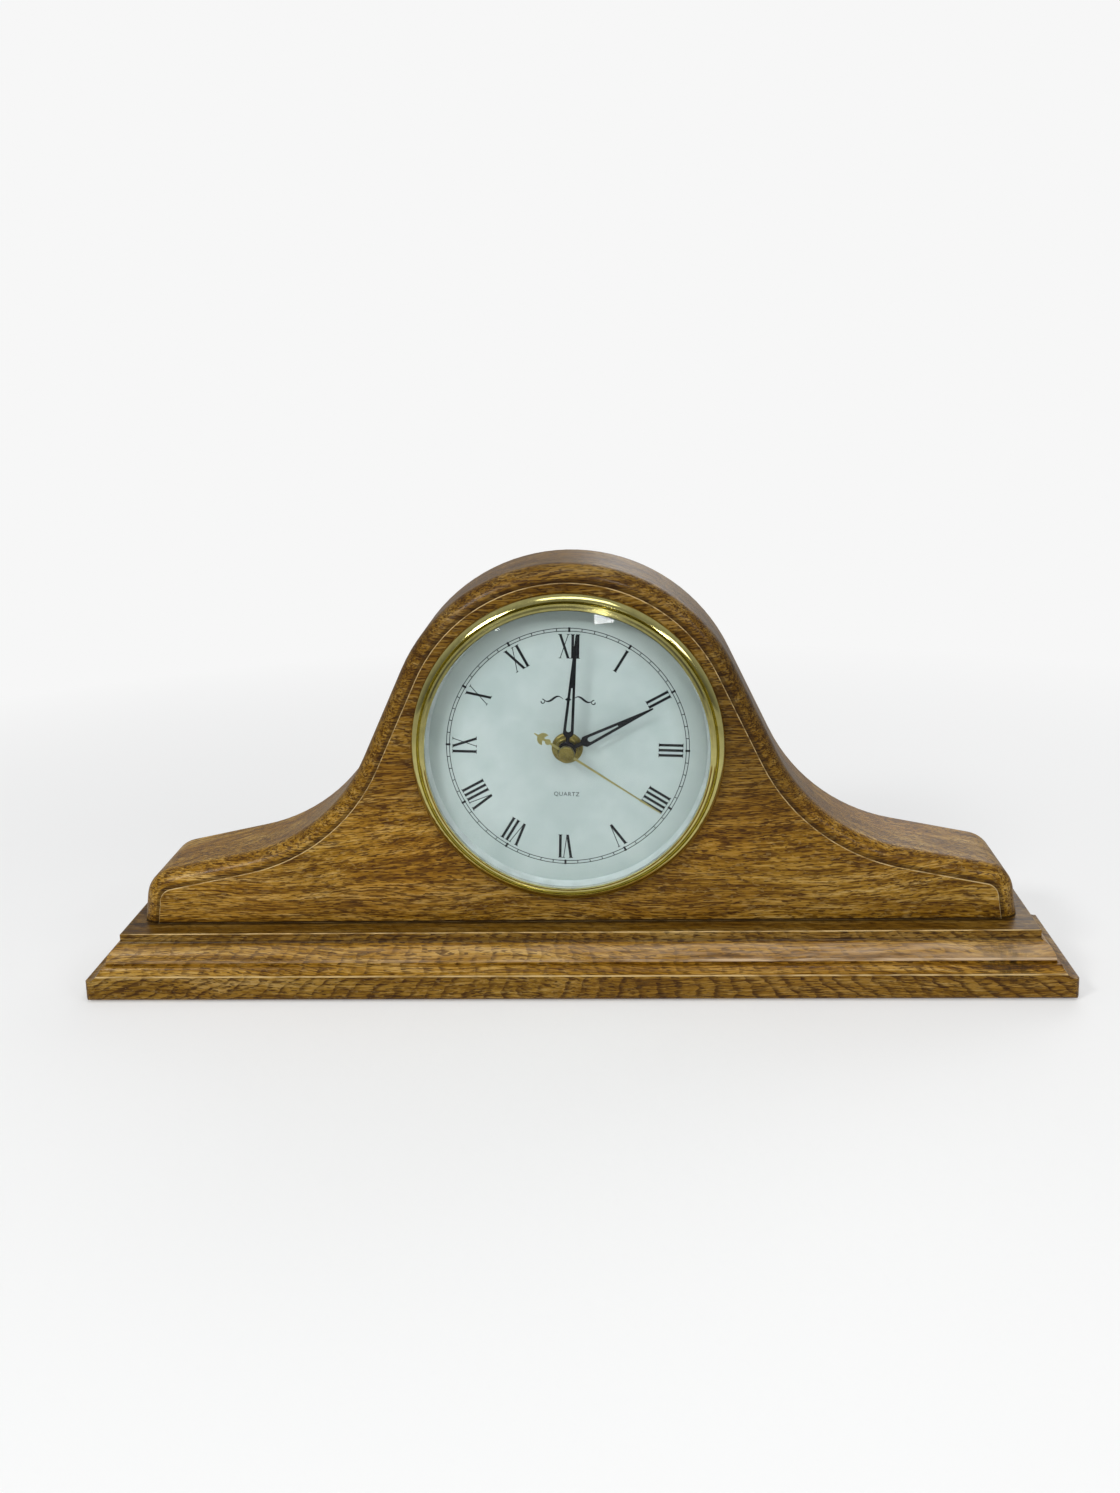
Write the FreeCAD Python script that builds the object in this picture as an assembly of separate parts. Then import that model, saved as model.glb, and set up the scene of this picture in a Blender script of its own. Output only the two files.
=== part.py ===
import FreeCAD, Part
import math
import os

# Mantel clock: oak tambour case on a moulded plinth, with a round quartz insert.
# Millimetres. X runs along the clock, -Y is the front, +Z is up.
# The origin is the middle of the footprint, on the surface the clock stands on.

V = FreeCAD.Vector

# ---------------------------------------------------------------- driving sizes
BASE_LENGTH = 450.0
BASE_DEPTH = 78.2
FELT = 0.8
FELT_INSET = 5.0
SLAB_TOP = 12.0          # the plinth's heights are above its own underside
MOULDING_FOOT = 24.3
PLINTH_HEIGHT = 27.9
MOULDING_INSET = 12.7
END_DROP = 2.6           # the ends are moulded this much lower on the slab
END_SETBACK = 1.8        # and stand this much further in above it
SLAB_CORNER = 3.6
SLAB_EASE = 2.4
ARRIS_R = 0.5            # sanded edges of the plinth and of the case's flat face

DIAL_HEIGHT = 112.2      # the dial's centre above the ground
FACE_SETBACK = 12.6      # case front behind the plinth's top front edge
FRONT_BOARD = 30.7       # thickness of the front oak board
CROWN_R = 83.65
CROWN_END = 25.25        # angle above horizontal where the crown's arc ends
FLANK_DROP = 41.1        # height of the straight flank under the crown's arc
COVE_R = 82.1
SHELF_SLOPE = 11.45
SHOULDER_R = 14.6
SIDE_LEAN = 7.9
SIDE_FOOT = 204.0        # half width of the case at its foot
ROUNDOVER = 7.94
FACE_STEP = 0.9          # the flat face stands this proud of the roundover
FACE_MARGIN = 0.15
BACK_EASE = 1.5
BORE_R = 66.7

SCREW_X = 120.0
SCREW_LENGTH = 44.0
SCREW_R = 2.08
SCREW_HEAD_R = 4.1

INSERT_TURN = 2.43       # the insert sits a little turned in its bore, in degrees
DIAL_SINK = 0.2          # dial surface behind the case front
DIAL_R = 64.5
DIAL_THICKNESS = 0.4
CENTRE_HOLE_R = 4.1
BEZEL_R = 71.5
BEZEL_INNER_R = 67.35
LIP_R = 64.3
LIP_HEIGHT = 8.25
LENS_R = 66.0
LENS_APEX = 21.2
LENS_EDGE = 7.4
LENS_THICKNESS = 2.0
RIM_TOP = 4.4
RIM_R = 67.2
SPACER_FOOT_R = 63.3
CUP_WALL = 2.0
SKIRT_R = 64.6
SKIRT_DEPTH = 20.0
COLLAR_R = 66.3          # thicker neck of the skirt, just inside the bore's mouth
COLLAR_DEPTH = 2.0

GASKET = 0.8
MOVEMENT_SIDE = 56.0
MOVEMENT_DEPTH = 16.5
MOVEMENT_SPLIT = 8.0
MOVEMENT_WALL = 1.2
SHELL_CORNER = 2.0
SHELL_EASE = 0.7
CLIP_Z = (-4.0, 14.0)
CLIP_WIDTH = 5.0
CLIP_THICKNESS = 0.8
KNOB_R = 6.6
KNOB_GUARD_R = 8.1
DIVIDER_TOP = -11.1      # wall between the gear room and the battery bay
DIVIDER_FOOT = -11.9
CELL_R = 7.25
CELL_LENGTH = 50.5
CELL_Z = -19.3
CELL_MIDDLE = 8.7        # the cell's axis behind the movement's front

MOTOR_X = (2.4, 23.2)    # the coil's core and the stator's arms
BOBBIN_X = (6.0, 19.6)
BOBBIN_R = 4.0
COIL_Z = 22.5
COIL_DEPTH = 8.5         # the coil's axis behind the movement's front
COIL_CORE_DEPTH = 1.0
COIL_CORE_HEIGHT = 3.0
CONTACT_X = 25.85        # outer face of the two contact strips
CONTACT_THICKNESS = 0.3

RUNNING_GAP = 0.05
ARBOR_R = 0.4
SECONDS_ARBOR_R = 0.53
MINUTE_TUBE_R = 1.72
HOUR_TUBE_R = 2.5
BUSHING_R = 3.97
NUT_R = 6.75

MINUTE_ANGLE = 3.7       # rest angles of the hands, clockwise from twelve
HOUR_ANGLE = 61.8
SECONDS_ANGLE = 121.7
HOUR_HAND_HEIGHT = 5.4
MINUTE_HAND_HEIGHT = 7.7
SECONDS_HAND_HEIGHT = 10.4
HAND_THICKNESS = 0.4
CAP_HEIGHT = 13.6
CAP_R = 3.7

# gears: tooth counts and modules
CANNON_TEETH, MINUTE_WHEEL_TEETH, MOTION_MODULE = 14, 42, 9.0 / 28
MINUTE_PINION_TEETH, HOUR_TEETH, HOUR_MODULE = 12, 48, 0.3
PINION_TEETH = 8
CENTRE_TEETH, CENTRE_MODULE = 64, 8.5 / 36
THIRD_TEETH, SECONDS_TEETH, FIFTH_TEETH, TRAIN_MODULE = 60, 60, 60, 0.25
FIFTH_PINION_TEETH, SECONDS_MODULE = 15, 0.24

# arbor places: distance from the dial's centre and angle counted from +X towards +Z
MINUTE_WHEEL_AT = (9.0, -20.0)
THIRD_AT = (8.5, 135.0)
FIFTH_AT = (9.0, 45.0)
ROTOR_FROM_FIFTH = (8.5, 30.0)
SETTING_FROM_MINUTE_WHEEL = (9.0, 0.0)

# ---------------------------------------------------------------- derived places
CASE_FOOT = FELT + PLINTH_HEIGHT
FRONT = -BASE_DEPTH / 2
BACK = BASE_DEPTH / 2
CASE_FRONT = FRONT + MOULDING_INSET + FACE_SETBACK
GLUE_LINE = CASE_FRONT + FRONT_BOARD
DIAL_Y = CASE_FRONT + DIAL_SINK
MOVEMENT_FRONT = DIAL_THICKNESS + CUP_WALL + GASKET


def polar(distance, angle, centre=(0.0, 0.0)):
    a = math.radians(angle)
    return (centre[0] + distance * math.cos(a), centre[1] + distance * math.sin(a))


MINUTE_WHEEL_XZ = polar(*MINUTE_WHEEL_AT)
THIRD_XZ = polar(*THIRD_AT)
FIFTH_XZ = polar(*FIFTH_AT)
ROTOR_XZ = polar(*ROTOR_FROM_FIFTH, centre=FIFTH_XZ)
SETTING_XZ = polar(*SETTING_FROM_MINUTE_WHEEL, centre=MINUTE_WHEEL_XZ)


# ---------------------------------------------------------------- simple solids
def block(x, y, z):
    return Part.makeBox(x[1] - x[0], y[1] - y[0], z[1] - z[0], V(x[0], y[0], z[0]))


def rod(at, radius, y0, y1):
    return Part.makeCylinder(radius, y1 - y0, V(at[0], y0, at[1]), V(0, 1, 0))


def tube(at, radius, bore, y0, y1):
    return rod(at, radius, y0, y1).cut(rod(at, bore, y0 - 1, y1 + 1))


def upright(x, y, radius, z0, z1):
    return Part.makeCylinder(radius, z1 - z0, V(x, y, z0))


def outline(*runs):
    """Closed wire from straight runs (two points) and arcs (three points)."""
    edges = []
    for run in runs:
        points = [V(*p) for p in run]
        if len(points) == 2:
            edges.append(Part.LineSegment(*points).toShape())
        else:
            edges.append(Part.Arc(*points).toShape())
    return Part.Wire(edges)


def prism(wire, along):
    return Part.Face(wire).extrude(V(*along))


def turned(*runs):
    """Solid of revolution about the dial's axis from runs of (radius, height in front)."""
    lifted = [[(r, -h, 0.0) for r, h in run] for run in runs]
    return Part.Face(outline(*lifted)).revolve(V(0, 0, 0), V(0, 1, 0), 360)


def turned_polygon(points):
    closed = list(points) + [points[0]]
    return turned(*[(a, b) for a, b in zip(closed, closed[1:])])


def flat_polygon(points, y0, y1):
    closed = [V(x, y0, z) for x, z in points]
    closed.append(closed[0])
    return prism(Part.makePolygon(closed), (0, y1 - y0, 0))


# ---------------------------------------------------------------- gears
def mesh_phase(phase, teeth, at, next_teeth, next_at):
    """Angle of a tooth on the next gear, so that it meshes with this gear at rest."""
    line = math.degrees(math.atan2(next_at[1] - at[1], next_at[0] - at[0]))
    turns = (phase - line) * teeth / 360.0
    return line + 180.0 + (0.5 - turns) * 360.0 / next_teeth


def gear(at, teeth, module, phase, y0, y1):
    """Spur gear with straight-sided teeth, thin enough to run with backlash."""
    pitch = 360.0 / teeth
    pitch_r = module * teeth / 2
    profile = [(pitch_r - 1.15 * module, 0.31), (pitch_r, 0.22), (pitch_r + 0.75 * module, 0.09)]
    points = []
    for tooth in range(teeth):
        middle = phase + tooth * pitch
        rising = [polar(r, middle - share * pitch, at) for r, share in profile]
        falling = [polar(r, middle + share * pitch, at) for r, share in reversed(profile)]
        points += rising + falling
    return flat_polygon(points, y0, y1)


# Tooth phases, each worked out from the gear it meshes with.
CANNON_PHASE = 0.0
MINUTE_WHEEL_PHASE = mesh_phase(CANNON_PHASE, CANNON_TEETH, (0, 0),
                                MINUTE_WHEEL_TEETH, MINUTE_WHEEL_XZ)
SETTING_PHASE = mesh_phase(MINUTE_WHEEL_PHASE, MINUTE_WHEEL_TEETH, MINUTE_WHEEL_XZ,
                           CANNON_TEETH, SETTING_XZ)
HOUR_PHASE = mesh_phase(MINUTE_WHEEL_PHASE, MINUTE_PINION_TEETH, MINUTE_WHEEL_XZ,
                        HOUR_TEETH, (0, 0))
SECONDS_PHASE = 0.0
THIRD_PHASE = mesh_phase(SECONDS_PHASE, PINION_TEETH, (0, 0), THIRD_TEETH, THIRD_XZ)
CENTRE_PHASE = mesh_phase(THIRD_PHASE, PINION_TEETH, THIRD_XZ, CENTRE_TEETH, (0, 0))
FIFTH_PHASE = mesh_phase(SECONDS_PHASE, SECONDS_TEETH, (0, 0), FIFTH_PINION_TEETH, FIFTH_XZ)
ROTOR_PHASE = mesh_phase(FIFTH_PHASE, FIFTH_TEETH, FIFTH_XZ, PINION_TEETH, ROTOR_XZ)


def layer(depth):
    """Distance behind the movement's front, as distance behind the dial."""
    return MOVEMENT_FRONT + depth


# ---------------------------------------------------------------- plinth
def moulding_runs(drop, setback):
    """Moulded edge from the slab's foot to the plinth's top, as (inset, height) runs."""
    ease = SLAB_EASE
    cut = ease * (1 - math.sqrt(0.5))
    arris_cut = ARRIS_R * (1 - math.sqrt(0.5))
    slab_top = SLAB_TOP - drop
    inset = MOULDING_INSET + setback
    cove_start = (ARRIS_R, slab_top + 0.1)
    cove_mid = (3.3 + setback, 13.4 - 0.85 * drop)
    cove_end = (4.6 + 1.5 * setback, 16.4 - 0.65 * drop)
    ledge = (6.2 + 1.5 * setback, 16.7 - 0.65 * drop)
    ovolo_mid = (7.3 + 1.5 * setback, 20.3 - 0.35 * drop)
    ovolo_end = (10.9 + setback, 22.8)
    foot = (inset, MOULDING_FOOT)
    arris = (inset, PLINTH_HEIGHT - ARRIS_R)
    top = (inset + ARRIS_R, PLINTH_HEIGHT)
    return [
        [(ease, 0.0), (cut, cut), (0.0, ease)],
        [(0.0, ease), (0.0, slab_top - ARRIS_R)],
        [(0.0, slab_top - ARRIS_R), (arris_cut, slab_top - arris_cut), cove_start],
        [cove_start, cove_mid, cove_end],
        [cove_end, ledge],
        [ledge, ovolo_mid, ovolo_end],
        [ovolo_end, (12.0 + setback, 23.2), foot],
        [foot, arris],
        [arris, (inset + arris_cut, PLINTH_HEIGHT - arris_cut), top],
    ]


def moulded_ends():
    """The moulded section on both ends, run the full depth."""
    half = BASE_LENGTH / 2
    runs = moulding_runs(END_DROP, END_SETBACK)
    left = [[(-half + a, FRONT, FELT + z) for a, z in run] for run in runs]
    right = [[(half - a, FRONT, FELT + z) for a, z in reversed(run)]
             for run in reversed(runs)]
    bridge_top = [left[-1][-1], right[0][0]]
    bridge_foot = [right[-1][-1], left[0][0]]
    return prism(outline(*left, bridge_top, *right, bridge_foot), (0, BASE_DEPTH, 0))


def moulded_front():
    """The moulded section on the front, run the full length, with a plain back."""
    x = -BASE_LENGTH / 2
    front = [[(x, FRONT + a, FELT + z) for a, z in run] for run in moulding_runs(0.0, 0.0)]
    top_back = (x, BACK, FELT + PLINTH_HEIGHT)
    foot_back = (x, BACK, FELT)
    rest = [[front[-1][-1], top_back], [top_back, foot_back], [foot_back, front[0][0]]]
    return prism(outline(*front, *rest), (BASE_LENGTH, 0, 0))


def rounded_plan(inset, z0, z1):
    """Upright block whose two front corners are rounded in plan."""
    half = BASE_LENGTH / 2 - inset
    plan = block((-half, half), (FRONT + inset, BACK), (z0, z1))
    corners = [e for e in plan.Edges
               if abs(e.Length - (z1 - z0)) < 0.01 and e.BoundBox.YMax < 0]
    return plan.makeFillet(SLAB_CORNER, corners)


def screw_places():
    middle_front = (CASE_FRONT + GLUE_LINE) / 2
    middle_back = (GLUE_LINE + BACK) / 2
    return [(x, y) for x in (-SCREW_X, SCREW_X) for y in (middle_front, middle_back)]


def base_plinth():
    mitred = moulded_ends().common(moulded_front())
    step_inset, step_height = 6.2, FELT + 14.8
    lower = mitred.common(rounded_plan(0.0, FELT, step_height))
    upper = mitred.common(rounded_plan(step_inset, step_height, CASE_FOOT))
    plinth = lower.fuse(upper).removeSplitter()
    for x, y in screw_places():
        plinth = plinth.cut(upright(x, y, SCREW_R + 0.1, FELT, CASE_FOOT))
        sink = Part.makeCone(SCREW_HEAD_R + 0.15, SCREW_R + 0.1, 2.9, V(x, y, FELT))
        plinth = plinth.cut(sink)
    return plinth


def base_felt():
    half = BASE_LENGTH / 2 - FELT_INSET
    depth = (FRONT + FELT_INSET, BACK - FELT_INSET)
    return block((-half, half), depth, (0, FELT))


def base_screws():
    screws = []
    shank_start = 2.6
    point = 6.0
    for x, y in screw_places():
        foot = FELT + 0.1
        head = Part.makeCone(SCREW_HEAD_R, SCREW_R, shank_start, V(x, y, foot))
        shank_top = foot + SCREW_LENGTH - point
        shank = upright(x, y, SCREW_R, foot + shank_start, shank_top)
        tip = Part.makeCone(SCREW_R, 0.4, point, V(x, y, shank_top))
        screw = head.fuse([shank, tip]).removeSplitter()
        for turn in (0, 90):
            slot = block((x - 2.2, x + 2.2), (y - 0.5, y + 0.5), (foot, foot + 1.6))
            slot.rotate(V(x, y, 0), V(0, 0, 1), turn)
            screw = screw.cut(slot)
        screws.append(screw)
    return Part.makeCompound(screws)


# ---------------------------------------------------------------- oak case
def case_half(inset):
    """Right half of the case's front view, crown to foot, as (x, z) runs."""
    crown_r = CROWN_R - inset
    cove_r = COVE_R + inset
    shoulder_r = SHOULDER_R - inset
    end = math.radians(CROWN_END)
    half_end = math.radians((90 + CROWN_END) / 2)
    slope = math.radians(SHELF_SLOPE)
    lean = math.radians(SIDE_LEAN)
    top = (0.0, DIAL_HEIGHT + crown_r)
    crown_mid = (crown_r * math.cos(half_end), DIAL_HEIGHT + crown_r * math.sin(half_end))
    crown_end = (crown_r * math.cos(end), DIAL_HEIGHT + crown_r * math.sin(end))
    drop = FLANK_DROP
    flank_end = (crown_end[0] + drop * math.tan(end), crown_end[1] - drop)
    centre = (flank_end[0] + cove_r * math.cos(end), flank_end[1] + cove_r * math.sin(end))
    bend = (math.pi / 2 - end + slope) / 2
    cove_mid = (centre[0] - cove_r * math.sin(bend), centre[1] - cove_r * math.cos(bend))
    shelf_start = (centre[0] - cove_r * math.sin(slope), centre[1] - cove_r * math.cos(slope))
    # The shelf and the side meet at a corner that the shoulder's arc rounds off.
    foot = (SIDE_FOOT - inset / math.cos(lean), CASE_FOOT)
    tan_slope, tan_lean = math.tan(slope), math.tan(lean)
    rise = (shelf_start[1] - foot[1] - tan_slope * (foot[0] - shelf_start[0]))
    corner_z = foot[1] + rise / (1 - tan_slope * tan_lean)
    corner = (foot[0] - (corner_z - foot[1]) * tan_lean, corner_z)
    turn = math.pi / 2 - lean - slope
    reach = shoulder_r * math.tan(turn / 2)
    shoulder_start = (corner[0] - reach * math.cos(slope), corner[1] + reach * math.sin(slope))
    shoulder_end = (corner[0] + reach * math.sin(lean), corner[1] - reach * math.cos(lean))
    out = slope + turn / 2
    middle = (shoulder_start[0] - shoulder_r * math.sin(slope),
              shoulder_start[1] - shoulder_r * math.cos(slope))
    shoulder_mid = (middle[0] + shoulder_r * math.sin(out), middle[1] + shoulder_r * math.cos(out))
    return [
        [top, crown_mid, crown_end],
        [crown_end, flank_end],
        [flank_end, cove_mid, shelf_start],
        [shelf_start, shoulder_start],
        [shoulder_start, shoulder_mid, shoulder_end],
        [shoulder_end, foot],
    ]


def case_slice(inset, y0, y1):
    right = case_half(inset)
    left = [[(-x, z) for x, z in reversed(run)] for run in reversed(right)]
    foot = [right[-1][-1], left[0][0]]
    runs = [[(x, y0, z) for x, z in run] for run in right + [foot] + left]
    return prism(outline(*runs), (0, y1 - y0, 0))


def outline_edges(shape, y, above):
    """Edges of the case's outline in the plane at y that reach higher than above."""
    found = []
    for edge in shape.Edges:
        box = edge.BoundBox
        in_plane = abs(box.YMin - y) < 0.01 and abs(box.YMax - y) < 0.01
        if in_plane and box.ZMax > above:
            found.append(edge)
    return found


def pilot_holes():
    top = FELT + SCREW_LENGTH + 0.6
    return [upright(x, y, SCREW_R + 0.03, CASE_FOOT - 1, top) for x, y in screw_places()]


def case_front_board():
    rounded_from = CASE_FRONT + FACE_STEP
    board = case_slice(0.0, rounded_from, GLUE_LINE)
    board = board.makeFillet(ROUNDOVER, outline_edges(board, rounded_from, CASE_FOOT + 1))
    face = case_slice(ROUNDOVER + FACE_MARGIN, CASE_FRONT, rounded_from + 1.0)
    face = face.makeFillet(ARRIS_R, outline_edges(face, CASE_FRONT, CASE_FOOT - 1))
    board = board.fuse(face).removeSplitter()
    bore = rod((0, DIAL_HEIGHT), BORE_R, CASE_FRONT - 1, GLUE_LINE + 1)
    return board.cut([bore] + pilot_holes())


def case_back_board():
    board = case_slice(0.0, GLUE_LINE, BACK)
    board = board.makeFillet(BACK_EASE, outline_edges(board, BACK, CASE_FOOT + 1))
    bore = rod((0, DIAL_HEIGHT), BORE_R, GLUE_LINE - 1, BACK + 1)
    return board.cut([bore] + pilot_holes())


# ---------------------------------------------------------------- insert housing
def insert_cup():
    """Moulded housing: front wall behind the dial, rim round it, skirt into the bore."""
    flange = -(DIAL_SINK + 0.05)
    axis = (0, 0)
    wall = tube(axis, SKIRT_R, CENTRE_HOLE_R, DIAL_THICKNESS, DIAL_THICKNESS + CUP_WALL)
    skirt = tube(axis, SKIRT_R, SKIRT_R - CUP_WALL, DIAL_THICKNESS, SKIRT_DEPTH)
    rim = tube(axis, RIM_R, DIAL_R + 0.2, -RIM_TOP, flange)
    seat = tube(axis, BEZEL_R - 1.2, SKIRT_R - CUP_WALL, flange - 1.0, flange)
    collar = tube(axis, COLLAR_R, SKIRT_R - CUP_WALL, flange - 0.5, COLLAR_DEPTH)
    room = rod(axis, DIAL_R + 0.2, -RIM_TOP - 1, DIAL_THICKNESS)
    return wall.fuse([skirt, rim, seat, collar]).cut(room).removeSplitter()


def friction_band():
    """Ribbed rubber band that grips the bore."""
    inner, body, crest = SKIRT_R + 0.05, SKIRT_R + 0.9, BORE_R - 0.1
    start, rib, land, ribs = COLLAR_DEPTH + 0.1, 1.2, 1.6, 3
    band = tube((0, 0), body, inner, start, start + land + ribs * (land + rib))
    raised = [tube((0, 0), crest, inner, y, y + rib)
              for y in (start + land + i * (land + rib) for i in range(ribs))]
    return band.fuse(raised).removeSplitter()


def bezel_ring():
    """Pressed brass ring, convex outside and hollow behind."""
    foot = DIAL_SINK + 0.05
    wall = 0.8
    shoulder = (BEZEL_INNER_R, 5.0)
    quirk = (BEZEL_INNER_R + 0.5, 5.35)
    crest = (BEZEL_INNER_R + 1.0, 5.95)
    edge = (BEZEL_R, foot + 1.6)
    inner_edge = (BEZEL_R - wall, foot + 1.4)
    inner_crest = (BEZEL_INNER_R + wall, 4.6)
    return turned(
        [shoulder, quirk], [quirk, crest],
        [crest, (BEZEL_R - 1.15, 4.55), edge],
        [edge, (BEZEL_R, foot)], [(BEZEL_R, foot), (BEZEL_R - wall, foot)],
        [(BEZEL_R - wall, foot), inner_edge],
        [inner_edge, (BEZEL_R - 1.8, 3.6), inner_crest],
        [inner_crest, (BEZEL_INNER_R + wall, foot + 1.15)],
        [(BEZEL_INNER_R + wall, foot + 1.15), (BEZEL_INNER_R, foot + 1.15)],
        [(BEZEL_INNER_R, foot + 1.15), shoulder],
    )


def bezel_inner_ring():
    """Bevelled gold ring that holds the lens down under its lip."""
    outer, inner = RIM_R, LENS_R + 0.35
    return turned_polygon([
        (LIP_R, LIP_HEIGHT), (LIP_R + 0.15, LIP_HEIGHT + 0.45), (LIP_R + 0.45, LIP_HEIGHT + 0.4),
        (outer - 0.2, 6.2), (outer, 5.9), (outer, RIM_TOP + 0.05), (inner, RIM_TOP + 0.05),
        (inner, LENS_EDGE + 0.1),
    ])


def lens_arc(apex, edge_r, edge_height):
    rise = apex - edge_height
    radius = (edge_r ** 2 + rise ** 2) / (2 * rise)
    middle_r = edge_r / 2
    middle = apex - radius + math.sqrt(radius ** 2 - middle_r ** 2)
    return [(edge_r, edge_height), (middle_r, middle), (0.0, apex)]


def crystal_lens():
    front = lens_arc(LENS_APEX, LENS_R, LENS_EDGE)
    back_edge = LENS_EDGE - LENS_THICKNESS
    back = lens_arc(LENS_APEX - LENS_THICKNESS, LENS_R, back_edge)
    return turned(front, [front[-1], back[-1]], list(reversed(back)), [back[0], front[0]])


def lens_gasket():
    foot = RIM_TOP + 0.05
    top = LENS_EDGE - LENS_THICKNESS - 0.05
    return turned_polygon([(DIAL_R + 0.3, foot), (LENS_R + 0.2, foot),
                           (LENS_R + 0.2, top), (DIAL_R + 0.3, top + 0.25)])


def dial_spacer():
    """Flared white ring that holds the dial's edge down and fills the depth up to the lens."""
    outer = DIAL_R + 0.15
    top = RIM_TOP + 0.9
    return turned_polygon([(SPACER_FOOT_R, 0.02), (outer, 0.02), (outer, top), (LIP_R, top)])


def dial_face():
    return tube((0, 0), DIAL_R, CENTRE_HOLE_R, 0, DIAL_THICKNESS)


def movement_gasket():
    return tube((0, 0), 11.0, CENTRE_HOLE_R, MOVEMENT_FRONT - GASKET, MOVEMENT_FRONT)


# ---------------------------------------------------------------- movement housing
def rounded_shell(y0, y1, eased_face):
    """Square shell with round corners, its outline eased on the face at eased_face."""
    half = MOVEMENT_SIDE / 2
    shell = block((-half, half), (y0, y1), (-half, half))
    corners = [e for e in shell.Edges if abs(e.Length - (y1 - y0)) < 0.01]
    shell = shell.makeFillet(SHELL_CORNER, corners)
    rim = [e for e in shell.Edges
           if abs(e.BoundBox.YMin - eased_face) < 0.01 and abs(e.BoundBox.YMax - eased_face) < 0.01]
    return shell.makeFillet(SHELL_EASE, rim)


def clips():
    """Snap tabs on the front shell that reach back over the rear shell's sides."""
    side = MOVEMENT_SIDE / 2
    root = layer(MOVEMENT_SPLIT - 2.4)
    tip = layer(MOVEMENT_SPLIT + 3.6)
    tabs = []
    for x in (-side, side):
        for z in CLIP_Z:
            outer = x + math.copysign(CLIP_THICKNESS, x)
            inner = x + math.copysign(RUNNING_GAP, x)
            height = (z - CLIP_WIDTH / 2, z + CLIP_WIDTH / 2)
            tabs.append(block(sorted((x - math.copysign(0.5, x), outer)),
                              (root, layer(MOVEMENT_SPLIT)), height))
            tabs.append(block(sorted((inner, outer)), (root, tip), height))
    return tabs


def bearing_holes(y0, y1):
    return [rod(at, ARBOR_R + RUNNING_GAP, y0, y1)
            for at in (MINUTE_WHEEL_XZ, THIRD_XZ, FIFTH_XZ, ROTOR_XZ)]


def contact_gates(y0, y1):
    """Gaps in the divider where the two contact strips leave the battery bay."""
    return [block((side - 1.0, side + 1.0), (y0, y1), (DIVIDER_FOOT - 1, DIVIDER_TOP + 1))
            for side in (-CONTACT_X + 0.35, CONTACT_X - 0.35)]


def movement_front_shell():
    inner = MOVEMENT_SIDE / 2 - MOVEMENT_WALL
    floor = layer(MOVEMENT_WALL)
    split = layer(MOVEMENT_SPLIT)
    shell = rounded_shell(layer(0), split, layer(0))
    rooms = block((-inner, inner), (floor, split + 1), (-inner, inner))
    divider = block((-inner, inner), (floor, layer(15.2)), (DIVIDER_FOOT, DIVIDER_TOP))
    for gate in contact_gates(layer(3.0), layer(16)):
        divider = divider.cut(gate)
    shell = shell.cut(rooms).fuse([divider] + clips()).removeSplitter()
    hole = rod((0, 0), BUSHING_R + RUNNING_GAP, layer(-1), layer(2))
    blind = bearing_holes(layer(0.5), layer(2))
    stem = rod(SETTING_XZ, 1.0 + RUNNING_GAP, layer(0.5), layer(2))
    return shell.cut([hole, stem] + blind)


def movement_rear_shell():
    inner = MOVEMENT_SIDE / 2 - MOVEMENT_WALL
    split = layer(MOVEMENT_SPLIT)
    back = layer(MOVEMENT_DEPTH)
    ceiling = layer(MOVEMENT_DEPTH - MOVEMENT_WALL)
    shell = rounded_shell(split, back, back)
    shell = shell.fuse(tube(SETTING_XZ, KNOB_GUARD_R, KNOB_GUARD_R - 0.9, back - 0.2, back + 0.9))
    rooms = block((-inner, inner), (split - 1, ceiling), (-inner, inner))
    bay = block((-inner + 0.8, inner - 0.8), (split - 1, back + 1), (-inner, DIVIDER_FOOT))
    finger = Part.makeCylinder(7.0, 4.0, V(0, back + 1.5, -inner - 2.5), V(0, 0, 1))
    shell = shell.cut([rooms, bay, finger])
    blind = bearing_holes(ceiling - 1, ceiling + 0.7)
    seconds = rod((0, 0), SECONDS_ARBOR_R + RUNNING_GAP, ceiling - 1, ceiling + 0.7)
    stem = rod(SETTING_XZ, 1.0 + RUNNING_GAP, ceiling - 1, back + 1)
    return shell.cut([seconds, stem] + blind)


def centre_bushing():
    """Threaded brass tube through dial and cup, with a flange inside the front shell."""
    front = -3.4
    flange = layer(MOVEMENT_WALL + 0.05)
    bushing = rod((0, 0), BUSHING_R, front, flange)
    bushing = bushing.fuse(rod((0, 0), BUSHING_R + 1.4, flange, flange + 0.3))
    return bushing.cut(rod((0, 0), HOUR_TUBE_R + RUNNING_GAP, front - 1, flange + 1))


def bushing_washer():
    return tube((0, 0), NUT_R + 0.35, CENTRE_HOLE_R, -0.5, -0.02)


def bushing_nut():
    """Round stepped brass nut."""
    hole = BUSHING_R + RUNNING_GAP
    return turned_polygon([
        (hole, 0.52), (NUT_R, 0.52), (NUT_R, 1.3), (NUT_R - 0.5, 1.7), (NUT_R - 1.1, 1.7),
        (NUT_R - 1.4, 2.0), (NUT_R - 1.5, 2.9), (NUT_R - 2.0, 3.3), (hole, 3.3),
    ])


# ---------------------------------------------------------------- electrics
CONTACT_Y = (layer(5.0), layer(11.0))


def circuit_board():
    return block((-26.0, -14.8), (layer(6.0), layer(7.0)), (-10.2, 20.0))


def quartz_crystal():
    can = Part.makeCylinder(1.0, 6.0, V(-17.2, layer(8.05), 11.0), V(0, 0, 1))
    pins = [Part.makeCylinder(0.15, 2.0, V(x, layer(8.05), 9.0), V(0, 0, 1))
            for x in (-17.55, -16.85)]
    return can.fuse(pins)


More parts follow.
